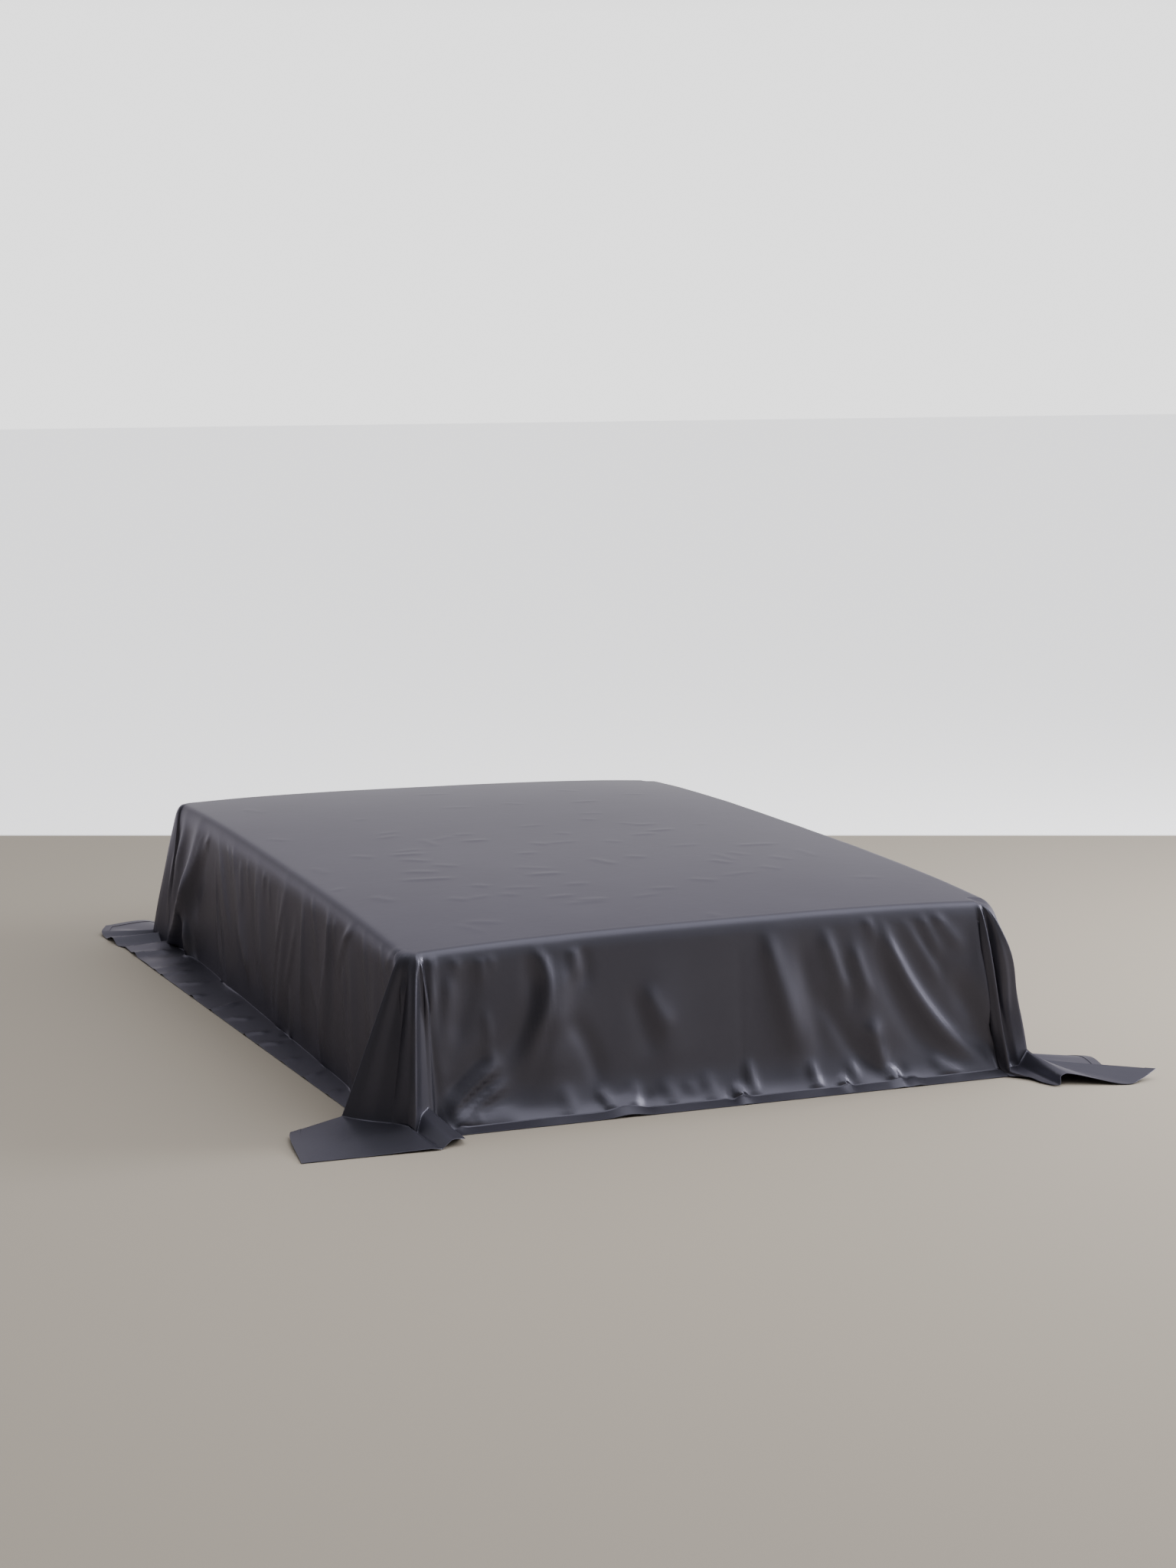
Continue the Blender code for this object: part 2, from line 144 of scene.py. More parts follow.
BACK = Side(
    0.036, 0.001, 0.130, 0.145, 0.060, 0.030, 0.030,
    RIGHTWARD, BACKWARD, HALF_LENGTH, TOP_X, -TOP_X,
)

# A fold down a side: where it leaves the edge and lands along the side, how far it stands out at the
# foot, its half width at the top and at the foot, the share of the drop where it begins and fades out,
# and how far it lifts the cloth off the floor
Fold = namedtuple("Fold", "top foot out width_top width_foot begins ends floor_lift")
LEFT_FOLDS = (
    Fold(0.867, 0.995, 0.020, 0.030, 0.050, 0.00, 1.2, 0.002),
    Fold(0.70, 0.95, 0.030, 0.040, 0.045, 0.00, 1.2, 0.008),
    Fold(0.833, 0.78, 0.024, 0.030, 0.040, 0.30, 1.2, 0.005),
    Fold(0.536, 0.389, 0.006, 0.025, 0.060, 0.00, 1.2, 0.000),
    Fold(0.40, 0.18, 0.010, 0.030, 0.060, 0.00, 0.9, 0.000),
    Fold(0.15, 0.03, 0.010, 0.030, 0.050, 0.00, 0.9, 0.000),
    Fold(-0.12, -0.06, 0.010, 0.030, 0.045, 0.00, 1.0, 0.000),
    Fold(-0.28, -0.27, 0.010, 0.030, 0.050, 0.00, 0.9, 0.000),
    Fold(-0.48, -0.45, 0.010, 0.030, 0.050, 0.00, 1.0, 0.000),
    Fold(-0.62, -0.72, 0.010, 0.030, 0.045, 0.00, 1.2, 0.000),
    Fold(-0.80, -0.88, 0.008, 0.030, 0.040, 0.00, 0.9, 0.000),
)
FRONT_FOLDS = (
    Fold(-0.36, -0.372, 0.014, 0.040, 0.060, 0.00, 1.1, 0.000),
    Fold(-0.21, -0.21, 0.001, 0.030, 0.036, 0.50, 1.1, 0.012),
    Fold(-0.14, -0.09, 0.006, 0.040, 0.060, 0.10, 1.1, 0.000),
    Fold(0.15, 0.21, 0.010, 0.035, 0.050, 0.00, 1.1, 0.000),
    Fold(0.32, 0.40, 0.008, 0.040, 0.050, 0.00, 1.1, 0.000),
    Fold(0.58, 0.64, 0.006, 0.050, 0.050, 0.00, 0.8, 0.000),
    Fold(0.72, 0.74, 0.036, 0.055, 0.100, 0.25, 1.1, 0.000),
)
RIGHT_FOLDS = (
    Fold(-0.70, -0.76, 0.024, 0.020, 0.055, 0.00, 1.2, 0.005),
    Fold(-0.52, -0.50, 0.014, 0.018, 0.040, 0.00, 0.8, 0.000),
    Fold(-0.38, -0.31, 0.026, 0.020, 0.055, 0.00, 1.2, 0.006),
    Fold(-0.19, -0.16, 0.014, 0.018, 0.045, 0.10, 1.1, 0.002),
    Fold(-0.02, 0.01, 0.024, 0.018, 0.050, 0.00, 1.2, 0.005),
    Fold(0.16, 0.24, 0.020, 0.018, 0.050, 0.00, 1.1, 0.003),
    Fold(0.31, 0.33, 0.012, 0.018, 0.040, 0.00, 0.8, 0.000),
    Fold(0.47, 0.44, 0.026, 0.020, 0.050, 0.00, 1.2, 0.006),
    Fold(0.66, 0.60, 0.014, 0.018, 0.040, 0.00, 0.9, 0.000),
    Fold(0.76, 0.80, 0.026, 0.020, 0.055, 0.00, 1.2, 0.006),
)
BACK_FOLDS = (
    Fold(0.50, 0.53, 0.020, 0.018, 0.050, 0.00, 1.2, 0.004),
    Fold(0.36, 0.33, 0.014, 0.018, 0.040, 0.00, 0.9, 0.000),
    Fold(0.17, 0.13, 0.026, 0.020, 0.055, 0.00, 1.2, 0.006),
    Fold(-0.02, -0.04, 0.014, 0.018, 0.045, 0.10, 1.1, 0.002),
    Fold(-0.18, -0.24, 0.026, 0.020, 0.055, 0.00, 1.2, 0.006),
    Fold(-0.36, -0.38, 0.014, 0.018, 0.045, 0.00, 0.9, 0.000),
    Fold(-0.50, -0.50, 0.022, 0.018, 0.050, 0.00, 1.2, 0.004),
)

# How far a corner drags the side's last drop lines along the side: at the foot and at the hem
Drag = namedtuple("Drag", "at foot hem reach")
LEFT_DRAGS = (Drag(at=TOP_Y, foot=0.020, hem=0.050, reach=0.10),)
FRONT_DRAGS = (
    Drag(at=-TOP_X, foot=0.030, hem=0.060, reach=0.07),
    Drag(at=TOP_X, foot=0.046, hem=0.052, reach=0.10),
)

# A drop line that leads the cloth round a corner: where it meets the floor, where the hem lies, how far
# it stands out from its straight fall in the upper and in the lower half, and its turn at the floor
Guide = namedtuple(
    "Guide", "foot_x foot_y foot_z hem_x hem_y hem_z high low turn", defaults=(0.0, 0.0, 0.003),
)
FRONT_LEFT = (
    Guide(-0.728, -0.966, CLOTH_LEVEL, -0.760, -0.974, CLOTH_LEVEL),
    Guide(-0.730, -0.984, 0.007, -0.766, -1.004, 0.003),
    Guide(-0.792, -0.944, 0.020, -0.915, -0.956, 0.004),
    Guide(-0.812, -0.938, 0.031, -0.926, -0.949, 0.0105),
    Guide(-0.790, -0.966, 0.030, -0.942, -1.010, 0.010),
    Guide(-0.757, -0.989, 0.026, -0.958, -1.145, CLOTH_LEVEL, high=-0.007, low=-0.004),
    Guide(-0.728, -1.013, 0.026, -0.830, -1.147, CLOTH_LEVEL, high=-0.005, low=-0.003),
    Guide(-0.704, -1.054, 0.030, -0.684, -1.152, 0.005, high=0.018, low=0.010),
    Guide(-0.688, -1.060, 0.014, -0.662, -1.150, CLOTH_LEVEL, high=0.018, low=0.014),
    Guide(-0.672, -1.044, 0.044, -0.638, -1.143, 0.016, high=0.004, low=0.002),
    Guide(-0.650, -1.028, 0.056, -0.606, -1.130, 0.012),
    Guide(-0.636, -1.026, 0.012, -0.598, -1.085, CLOTH_LEVEL),
)
FRONT_RIGHT = (
    Guide(0.710, -1.062, 0.012, 0.734, -1.096, 0.006, high=0.006, low=-0.002),
    Guide(0.744, -1.002, 0.003, 0.748, -1.142, 0.003, high=-0.002, low=-0.010, turn=0.001),
    Guide(0.768, -0.998, 0.006, 0.770, -1.176, 0.004, high=0.022, low=-0.004, turn=0.001),
    Guide(0.794, -0.978, 0.036, 0.794, -1.158, 0.024, high=0.034, low=0.012, turn=0.001),
    Guide(0.780, -0.982, 0.020, 0.908, -1.212, 0.002, high=0.020, low=0.010),
    Guide(0.780, -0.978, 0.016, 0.956, -1.208, 0.008, high=0.018, low=0.008),
    Guide(0.780, -0.974, 0.016, 1.006, -1.188, 0.022, high=0.016, low=0.008),
    Guide(0.782, -0.970, 0.018, 0.944, -1.136, 0.004, high=0.014, low=0.006),
    Guide(0.784, -0.964, 0.022, 0.946, -1.072, 0.003, high=0.012, low=0.004),
    Guide(0.780, -0.950, 0.024, 0.956, -0.990, 0.007, high=0.010, low=0.002),
    Guide(0.764, -0.940, 0.010, 0.912, -0.945, CLOTH_LEVEL, high=0.006),
)
BACK_RIGHT = (
    Guide(0.748, 0.995, CLOTH_LEVEL, 0.850, 1.020, CLOTH_LEVEL),
    Guide(0.792, 1.035, 0.024, 0.925, 1.110, 0.004, high=0.010, low=0.006),
    Guide(0.765, 1.062, 0.006, 0.935, 1.250, CLOTH_LEVEL, high=0.006, low=0.004),
    Guide(0.728, 1.058, CLOTH_LEVEL, 0.815, 1.245, CLOTH_LEVEL),
    Guide(0.704, 1.092, 0.024, 0.730, 1.225, 0.006, high=0.012, low=0.006),
    Guide(0.676, 1.045, CLOTH_LEVEL, 0.685, 1.165, CLOTH_LEVEL),
)
BACK_LEFT = (
    Guide(-0.672, 1.050, CLOTH_LEVEL, -0.672, 1.205, CLOTH_LEVEL),
    Guide(-0.704, 1.098, 0.022, -0.730, 1.265, 0.018, high=0.006, low=0.004),
    Guide(-0.730, 1.090, 0.016, -0.846, 1.245, 0.015, high=0.004, low=0.004),
    Guide(-0.745, 1.096, 0.026, -0.868, 1.195, 0.010, high=0.004, low=0.004),
    Guide(-0.748, 1.075, 0.008, -0.868, 1.140, 0.002, high=0.002, low=0.002),
    Guide(-0.744, 1.045, 0.028, -0.862, 1.090, 0.014),
    Guide(-0.742, 1.012, 0.004, -0.858, 1.040, CLOTH_LEVEL),
)

# A corner of the sheet: its guides, which of them ends at the cloth's own corner and which are crisp
# ridges, how far the cloth bulges and dips at the edge there, its signs in x and y, and how many drop
# lines fan out
Corner = namedtuple("Corner", "guides tip crisp shoulder dip sign_x sign_y lines")
CORNERS = {
    "front_left": Corner(FRONT_LEFT, 6, (4, 7, 9, 11), 0.004, 0.0, -1, -1, 66),
    "front_right": Corner(FRONT_RIGHT, 7, (1, 3, 4), 0.006, 0.010, 1, -1, 66),
    "back_right": Corner(BACK_RIGHT, 3, (2, 5), 0.006, 0.004, 1, 1, 48),
    "back_left": Corner(BACK_LEFT, 3, (2, 4, 6), 0.006, 0.0, -1, 1, 50),
}
CORNER_EDGE_DOWN = 0.040

# A crease pressed into a side: its start, its middle and its end, each along the side and up the cloth
# from the floor line (below 0 on the floor), its half width at both ends, its height, and how much it
# leans over
Crease = namedtuple(
    "Crease", "along_1 up_1 along_2 up_2 along_3 up_3 width_1 width_3 rise lean", defaults=(0.0,),
)


def crease_rows(*rows):
    """Creases from rows of their nine measures in millimetres and their lean, if they have any."""
    return tuple(Crease(*(value / 1000.0 for value in row[:9]), *row[9:]) for row in rows)


FRONT_CREASES = crease_rows(
    (-581, 375, -580, 355, -576, 330, 7, 10, 3.7),
    (-555, 370, -564, 277, -615, 170, 16, 30, -5.4),
    (-600, 350, -604, 260, -628, 150, 14, 18, 6.3),
    (-527, 372, -525, 345, -523, 310, 7, 10, 5),
    (-507, 376, -503, 357, -497, 338, 6, 9, 3.7),
    (-409, 385, -380, 276, -445, 85, 11, 22, 13.7, -0.4),
    (-432, 380, -418, 250, -500, 120, 16, 40, -9, 0.3),
    (-522, 261, -512, 214, -513, 170, 7, 7, 5),
    (-523, 180, -510, 161, -493, 140, 7, 9, 4.4),
    (-650, 16, -560, 90, -476, 148, 12, 13, 17),
    (-628, 75, -571, 125, -500, 185, 14, 16, -5.5),
    (-634, -8, -551, 54, -456, 108, 11, 14, 15),
    (-616, 28, -552, 73, -482, 120, 8, 9, -7.5),
    (-662, 392, -662.5, 330, -664, 230, 6, 8, 7.5),
    (-634, 386, -638, 335, -646, 240, 7, 9, 7.5),
    (-648, 380, -650, 330, -654, 270, 6, 8, -3.2),
    (-605, 16, -531, 30, -430, 32, 8, 13, 6),
    (-556, 33, -550, 23, -542, 8, 6, 8, 5),
    (-323, 378, -315, 343, -313, 300, 9, 16, 6.3),
    (-300, 376, -291, 336, -294, 280, 9, 16, -4),
    (-333, 345, -359, 269, -372, 170, 20, 34, 7.5),
    (-344, 230, -290, 166, -255, 50, 24, 18, -6.3),
    (-150, 285, -132, 220, -85, 170, 16, 26, 7.5),
    (-182, 280, -153, 197, -130, 100, 20, 30, -5.4),
    (-272, 62, -254, 36, -238, 10, 9, 12, 8.1, 0.4),
    (-171, 66, -184, 40, -196, 8, 10, 14, 5.8, -0.3),
    (-150, 50, -155, 25, -165, 0, 10, 12, -4.5),
    (-70, 45, -52, 45, -30, 40, 8, 10, 5),
    (126, 385, 158, 256, 215, 70, 14, 26, 10, 0.2),
    (200, 370, 242, 209, 268, 60, 18, 28, -6.3),
    (264, 380, 296, 290, 338, 190, 13, 20, 9.5, -0.2),
    (240, 260, 316, 131, 403, 5, 20, 12, -6.3),
    (336, 340, 356, 270, 388, 190, 10, 13, 7),
    (315, 330, 329, 242, 352, 180, 12, 16, -4),
    (374, 160, 394, 100, 414, 20, 22, 8, 11.5),
    (404, 392, 492, 205, 650, 5, 12, 20, 17, -0.3),
    (408, 330, 450, 190, 540, 50, 20, 26, -7.2),
    (570, 260, 622, 130, 664, 10, 18, 24, -11),
    (452, 385, 512, 300, 558, 210, 8, 11, 6.5, -0.3),
    (478, 375, 532, 290, 572, 205, 10, 14, -3.2),
    (498, 390, 528, 336, 554, 275, 8, 11, 5.6),
    (678, 360, 706, 275, 742, 185, 10, 10, 8),
    (648, 390, 650, 230, 656, 20, 18, 30, 6),
    (-650, 380, -645, 220, -628, 70, 14, 24, 6),
    (534, 390, 567, 347, 612, 290, 8, 11, 5.6),
    (369, 392, 383, 360, 401, 328, 7, 9, 5),
    (50, 46, 56, 20, 67, -14, 8, 12, 10.6, 0.4),
    (30, 30, 37, 15, 44, -5, 8, 10, -5.4),
    (84, 100, 90, 55, 98, 10, 7, 14, 8.1),
    (65, 395, 70, 203, 79, 0, 6, 6, -1.1),
    (234, 82, 240, 45, 247, 5, 8, 13, 8.1),
    (296, 38, 307, 22, 318, -6, 8, 10, 10, 0.3),
    (318, 40, 325, 22, 333, 0, 8, 9, -4.5),
    (328, 70, 334, 46, 341, 20, 8, 12, 6.3),
    (424, 50, 432, 22, 447, -12, 8, 11, 11.9, -0.3),
    (440, 55, 452, 30, 466, 5, 8, 10, -5),
    (461, 24, 470, 6, 481, -20, 7, 10, 6.3),
    (527, 66, 542, 36, 590, 16, 9, 12, 7.5),
    (-120, 70, -105, 43, -90, 16, 14, 16, 4.4),
    (-20, 78, -10, 46, 0, 14, 14, 18, 4.6),
    (-350, 78, -340, 46, -330, 14, 16, 20, 4.4),
)
LEFT_CREASES = crease_rows(
    (855, 365, 960, 210, 985, 90, 14, 22, 4.5),
    (675, 375, 790, 205, 955, -10, 8, 9, 6, 0.3),
    (640, 340, 745, 180, 880, 10, 20, 26, -3),
    (607, 385, 660, 335, 745, 265, 8, 10, 3),
    (880, 160, 800, 100, 770, -10, 9, 10, 9, 0.3),
    (850, 140, 770, 90, 745, 0, 16, 18, -4),
    (544, 350, 529, 171, 445, -12, 8, 10, 4.3, 0.3),
    (525, 385, 452, 247, 350, 100, 10, 14, 3.5),
    (560, 340, 510, 170, 420, 50, 18, 24, -2.5),
    (319, 210, 247, 147, 212, 80, 10, 12, 3),
    (299, 370, 290, 311, 268, 250, 8, 11, 3),
    (434, 385, 407, 345, 384, 295, 8, 10, 2.2),
    (380, 385, 360, 350, 345, 310, 7, 9, 2),
    (234, 385, 224, 340, 214, 290, 7, 9, 2),
    (231, 155, 224, 120, 202, 90, 8, 10, 2.5),
    (151, 375, 139, 245, 120, 60, 10, 12, 4, -0.3),
    (175, 340, 165, 220, 150, 80, 14, 20, -2),
    (71, 380, 79, 350, 87, 315, 7, 9, 2.2),
    (30, 375, 28, 330, 20, 280, 7, 9, 2),
    (-135, 385, -50, 190, -20, 20, 9, 10, 5, 0.3),
    (-110, 350, -75, 190, -55, 60, 14, 20, -2.5),
    (-66, 365, -49, 270, -42, 190, 9, 11, 2.5),
    (-223, 325, -165, 205, -115, 100, 9, 13, 3.7),
    (-156, 145, -170, 77, -168, -5, 9, 10, 5, -0.3),
    (-135, 120, -140, 60, -140, 0, 12, 18, -3.5),
    (-270, 385, -281, 246, -288, 100, 9, 12, 4, 0.3),
    (-250, 340, -258, 230, -262, 110, 14, 18, -2),
    (-338, 392, -360, 335, -402, 235, 8, 10, 3),
    (-316, 220, -370, 170, -420, 110, 9, 11, 3),
    (-468, 392, -482, 304, -470, 220, 9, 10, 4.5, 0.3),
    (-474, 260, -435, 150, -440, 0, 9, 11, 4.5),
    (-500, 350, -510, 220, -500, 60, 18, 24, -3),
    (-519, 378, -521, 342, -524, 310, 7, 8, 2.5),
    (-678, 392, -595, 330, -548, 245, 9, 11, 4.5),
    (-585, 305, -621, 169, -692, -12, 8, 8, 5, -0.3),
    (-620, 300, -655, 180, -700, 70, 18, 22, -2.5),
    (-725, 396, -770, 278, -810, 110, 10, 12, 3.5),
    (-850, 392, -883, 331, -935, 250, 9, 11, 2.5),
    (-950, 396, -925, 372, -904, 335, 8, 10, 2.5),
    (850, -10, 868, -80, 885, -220, 14, 14, 10, 0.4),
    (720, -10, 700, -60, 700, -140, 12, 16, 4),
    (640, -20, 635, -80, 632, -220, 10, 11, 5, -0.3),
    (480, -10, 500, -50, 530, -110, 10, 14, 3),
    (350, -60, 366, -100, 378, -220, 8, 14, 8, 0.4),
    (250, -10, 215, -40, 195, -180, 10, 11, 5),
    (60, -10, 80, -30, 120, -70, 10, 12, 3),
    (-90, -10, -70, -50, -62, -160, 10, 12, 5, 0.3),
    (-200, -5, -180, -30, -150, -70, 10, 12, 3),
    (-330, -10, -345, -40, -350, -150, 10, 12, 3),
    (-480, -5, -500, -30, -510, -140, 10, 12, 4),
    (-640, -5, -660, -30, -680, -130, 10, 12, 3),
)
RIGHT_CREASES = crease_rows(
    (-930, 390, -880, 270, -845, 110, 10, 14, 8, 0.3),
    (-860, 385, -800, 300, -760, 190, 9, 12, 6),
    (-720, 350, -740, 200, -750, 20, 12, 14, 8, -0.3),
    (-640, 390, -620, 330, -610, 270, 8, 10, 5),
    (-560, 120, -540, 60, -500, 0, 10, 14, 7, 0.3),
    (-450, 380, -400, 220, -330, 60, 10, 14, 8, 0.3),
    (-360, 250, -290, 130, -230, 30, 12, 16, -6),
    (-210, 395, -200, 350, -190, 300, 8, 10, 5),
    (-120, 200, -140, 90, -150, -10, 10, 14, 7, -0.3),
    (-30, 360, -10, 220, 10, 50, 12, 14, 7),
    (90, 390, 120, 320, 160, 240, 8, 12, 6),
    (170, 330, 220, 180, 240, 10, 12, 14, 8, 0.3),
    (300, 160, 320, 80, 360, 10, 10, 12, 6),
    (400, 390, 440, 240, 440, 60, 10, 14, 8, -0.3),
    (520, 380, 540, 340, 560, 290, 7, 10, 5),
    (600, 280, 560, 150, 540, 20, 12, 16, -6),
    (740, 370, 790, 200, 805, 20, 12, 14, 9, 0.3),
    (850, 390, 890, 300, 940, 190, 9, 12, 6),
    (-700, -5, -690, -60, -660, -220, 12, 14, 8, 0.3),
    (-280, -5, -300, -60, -310, -220, 12, 14, 7),
    (80, -5, 60, -60, 50, -220, 12, 14, 8, -0.3),
    (520, -5, 540, -60, 550, -220, 12, 14, 8),
)
BACK_CREASES = crease_rows(
    (620, 385, 585, 260, 560, 110, 10, 14, 8, -0.3),
    (520, 350, 525, 200, 530, 20, 12, 14, 7),
    (430, 390, 410, 330, 400, 260, 8, 10, 5),
    (330, 260, 350, 130, 330, 10, 11, 14, -6),
    (210, 385, 160, 240, 130, 60, 10, 14, 8, 0.3),
    (60, 390, 50, 340, 60, 280, 7, 10, 5),
    (-10, 180, -40, 90, -90, 10, 10, 12, 7),
    (-140, 370, -190, 230, -240, 50, 11, 14, 8, 0.3),
    (-290, 390, -300, 320, -330, 240, 8, 12, 6),
    (-400, 240, -380, 120, -390, 10, 12, 14, -6),
    (-480, 370, -490, 200, -500, 40, 12, 14, 7, -0.3),
    (-610, 385, -580, 300, -560, 200, 9, 12, 6),
    (400, -5, 380, -60, 370, -200, 12, 14, 8),
    (-40, -5, -60, -60, -70, -200, 12, 14, 7, 0.3),
    (-420, -5, -400, -60, -400, -200, 12, 14, 8),
)

# A ripple on the bed's top, which runs straight from one spot to another, its half width and its height.
# The rows are in millimetres, and those without a width and a height take the usual ones, in metres here
Ripple = namedtuple("Ripple", "x_1 y_1 x_2 y_2 width rise", defaults=(0.009, 0.0008))
TOP_RIPPLES = tuple(Ripple(*(value / 1000.0 for value in row)) for row in (
    (-420, -40, -330, -30), (-510, -360, -360, -400, 11, 1.2), (-380, 200, -310, 220),
    (-220, -330, -120, -390), (-10, -290, 30, -400, 10, 1.2), (-40, -80, 60, -70), (240, 150, 290, 90),
    (260, 0, 350, 10, 11, 1.1), (40, 60, 70, 20), (290, -330, 310, -450), (330, -330, 370, -400),
    (420, 60, 460, 60), (-640, -110, -620, -220), (-370, 430, -330, 430), (-580, 760, -540, 650),
    (-640, 290, -590, 220), (-320, -540, -220, -570), (-250, -740, -130, -750),
    (-260, -670, -180, -670, 10, 1.1), (-520, -810, -480, -910), (30, -920, 30, -970),
    (-80, -740, 0, -720), (-20, 170, 60, 180), (-280, 60, -210, 110), (230, -220, 320, -220),
    (510, -330, 520, -460), (200, 310, 270, 300), (-110, 530, -10, 510), (70, 550, 130, 510),
    (-430, -130, -360, -190, 11, 1.1), (-420, -610, -360, -600), (-670, -390, -630, -370),
    (440, 620, 520, 600), (-100, 800, 20, 780), (300, 760, 360, 700), (480, -700, 560, -720),
    (200, -600, 300, -580), (-440, -70, -340, -90, 12, 1.2), (-470, -270, -380, -320, 12, 1.1),
    (-220, 30, -140, 20, 12, 1.2), (-210, 120, -150, 110, 10, 0.9), (-400, 140, -330, 170, 10, 0.9),
    (-300, 100, -290, -20, 10, 0.9), (-220, -430, -120, -440, 13, 1.4), (170, 230, 210, 200, 10, 1),
    (260, 90, 340, 100, 11, 1), (200, -40, 280, -40, 11, 1), (250, -410, 290, -480, 11, 1.1),
    (330, -520, 370, -580, 10, 0.9), (410, -410, 440, -480, 10, 0.9), (-210, -720, -120, -730, 12, 1.2),
    (-370, -480, -330, -520, 11, 1), (-460, -580, -420, -630, 11, 1), (-500, -800, -410, -850, 12, 0.9),
    (-610, -480, -570, -570, 11, 1), (380, -260, 510, -260, 12, 1.1), (250, 500, 340, 510, 11, 1),
    (-70, -50, -30, -100, 11, 1), (80, -300, 130, -340, 11, 1), (-150, -180, -90, -180, 11, 1),
    (110, -600, 180, -650, 12, 0.9), (-380, -220, -320, -280, 11, 1), (-340, -590, -300, -630, 11, 0.9),
    (-10, -670, 60, -680, 11, 0.9), (-170, -560, -110, -570, 11, 1), (110, -90, 150, -130, 10, 0.9),
    (-520, -30, -470, -90, 11, 0.9),
))


def smooth_step(value):
    value = np.clip(value, 0.0, 1.0)
    return value * value * (3.0 - 2.0 * value)


def unit(vector):
    return vector / np.linalg.norm(vector)


def bend(start, corner, end, steps):
    """Points along the soft turn that a line takes at a corner."""
    share = np.linspace(0.0, 1.0, steps)[:, None]
    return (1 - share) ** 2 * start + 2 * share * (1 - share) * corner + share**2 * end


# A drop line's steps down the fall, round each turn and along the floor, the share of the drop at its two
# turns, and how much of the cloth on the floor the lower turn may take up
FALL_STEPS, TURN_STEPS, RUN_STEPS = 12, 9, 6
EDGE_SHARE, FOOT_SHARE = 0.18, 0.90
TURN_MOST = 0.85


def drop_path(start, edge, foot, hem, edge_down, turn_up, turn_out):
    """One drop line from the bed's top to the hem, each point's share of the fall, and of the run."""
    turn_out = min(turn_out, TURN_MOST * np.linalg.norm(hem - foot))
    over = bend(edge + unit(start - edge) * EDGE_IN, edge, edge + unit(foot - edge) * edge_down, TURN_STEPS)
    down = bend(foot + unit(edge - foot) * turn_up, foot, foot + unit(hem - foot) * turn_out, TURN_STEPS)
    fall = np.linspace(over[-1], down[0], FALL_STEPS + 2)[1:-1]
    run = np.linspace(down[-1], hem, RUN_STEPS + 1)[1:]
    points = np.vstack([start[None], over, fall, down, run])
    fallen = np.concatenate([
        [0.0], np.linspace(0.0, EDGE_SHARE, TURN_STEPS),
        np.linspace(EDGE_SHARE, FOOT_SHARE, FALL_STEPS + 2)[1:-1],
        np.linspace(FOOT_SHARE, 1.0, TURN_STEPS), np.ones(RUN_STEPS),
    ])
    ran = np.zeros(len(points))
    ran[-RUN_STEPS:] = np.linspace(0.0, 1.0, RUN_STEPS + 1)[1:]
    return points, fallen, ran


EDGE_ROWS, FALL_ROWS, TURN_ROWS, FLOOR_ROWS = 8, 10, 4, 5
HEM_REACH = 0.024
LEAST_RUN = 0.004


def rows_down(points):
    """Where the rows of cells cross a drop line: distances along it, closer at the edge and the floor."""
    steps = np.concatenate([[0.0], np.cumsum(np.linalg.norm(np.diff(points, axis=0), axis=1))])
    over, down = steps[TURN_STEPS], steps[1 + TURN_STEPS + FALL_STEPS]
    landed, last = steps[2 * TURN_STEPS + FALL_STEPS], steps[-1] - HEM_REACH
    landed = min(landed, last - LEAST_RUN)
    return np.concatenate([
        np.linspace(0.0, over, EDGE_ROWS + 1), np.linspace(over, down, FALL_ROWS + 1)[1:],
        np.linspace(down, landed, TURN_ROWS + 1)[1:],
        np.linspace(landed, last, FLOOR_ROWS + 1)[1:], [steps[-1]],
    ])


def sample(points, shares):
    """Points at the given shares of a line's length."""
    far = np.concatenate([[0.0], np.cumsum(np.linalg.norm(np.diff(points, axis=0), axis=1))])
    return np.stack([np.interp(shares * far[-1], far, points[:, axis]) for axis in range(3)], axis=1)


# How soon a fold grows, over how much of the drop it fades, how square its back is, and how much further
# out it may stand high up
FOLD_GROWTH, FOLD_FADE, FOLD_ROUND = 1.5, 0.35, 1.7
ROOM_HIGH_UP = 0.08


def fold_out(folds, place, fallen, room):
    """How far the folds push a side out from the bed, easing off near the hem's own line."""
    total = np.zeros_like(fallen)
    for fold in folds:
        centre = fold.top + (fold.foot - fold.top) * fallen
        width = fold.width_top + (fold.width_foot - fold.width_top) * fallen
        grown = smooth_step(FOLD_GROWTH * (fallen - fold.begins) / (1.0 - fold.begins))
        faded = smooth_step((fold.ends - fallen) / FOLD_FADE)
        total += fold.out * grown * faded * np.exp(-np.abs((place - centre) / width) ** FOLD_ROUND)
    limit = room + ROOM_HIGH_UP * (1.0 - fallen)
    return limit * np.tanh(total / limit)


# How much of the way to the hem a fold may take up, and how much lower its lift is at the hem
HEM_ROOM, HEM_SPARE = 0.7, 0.004
LIFT_LOST = 0.55


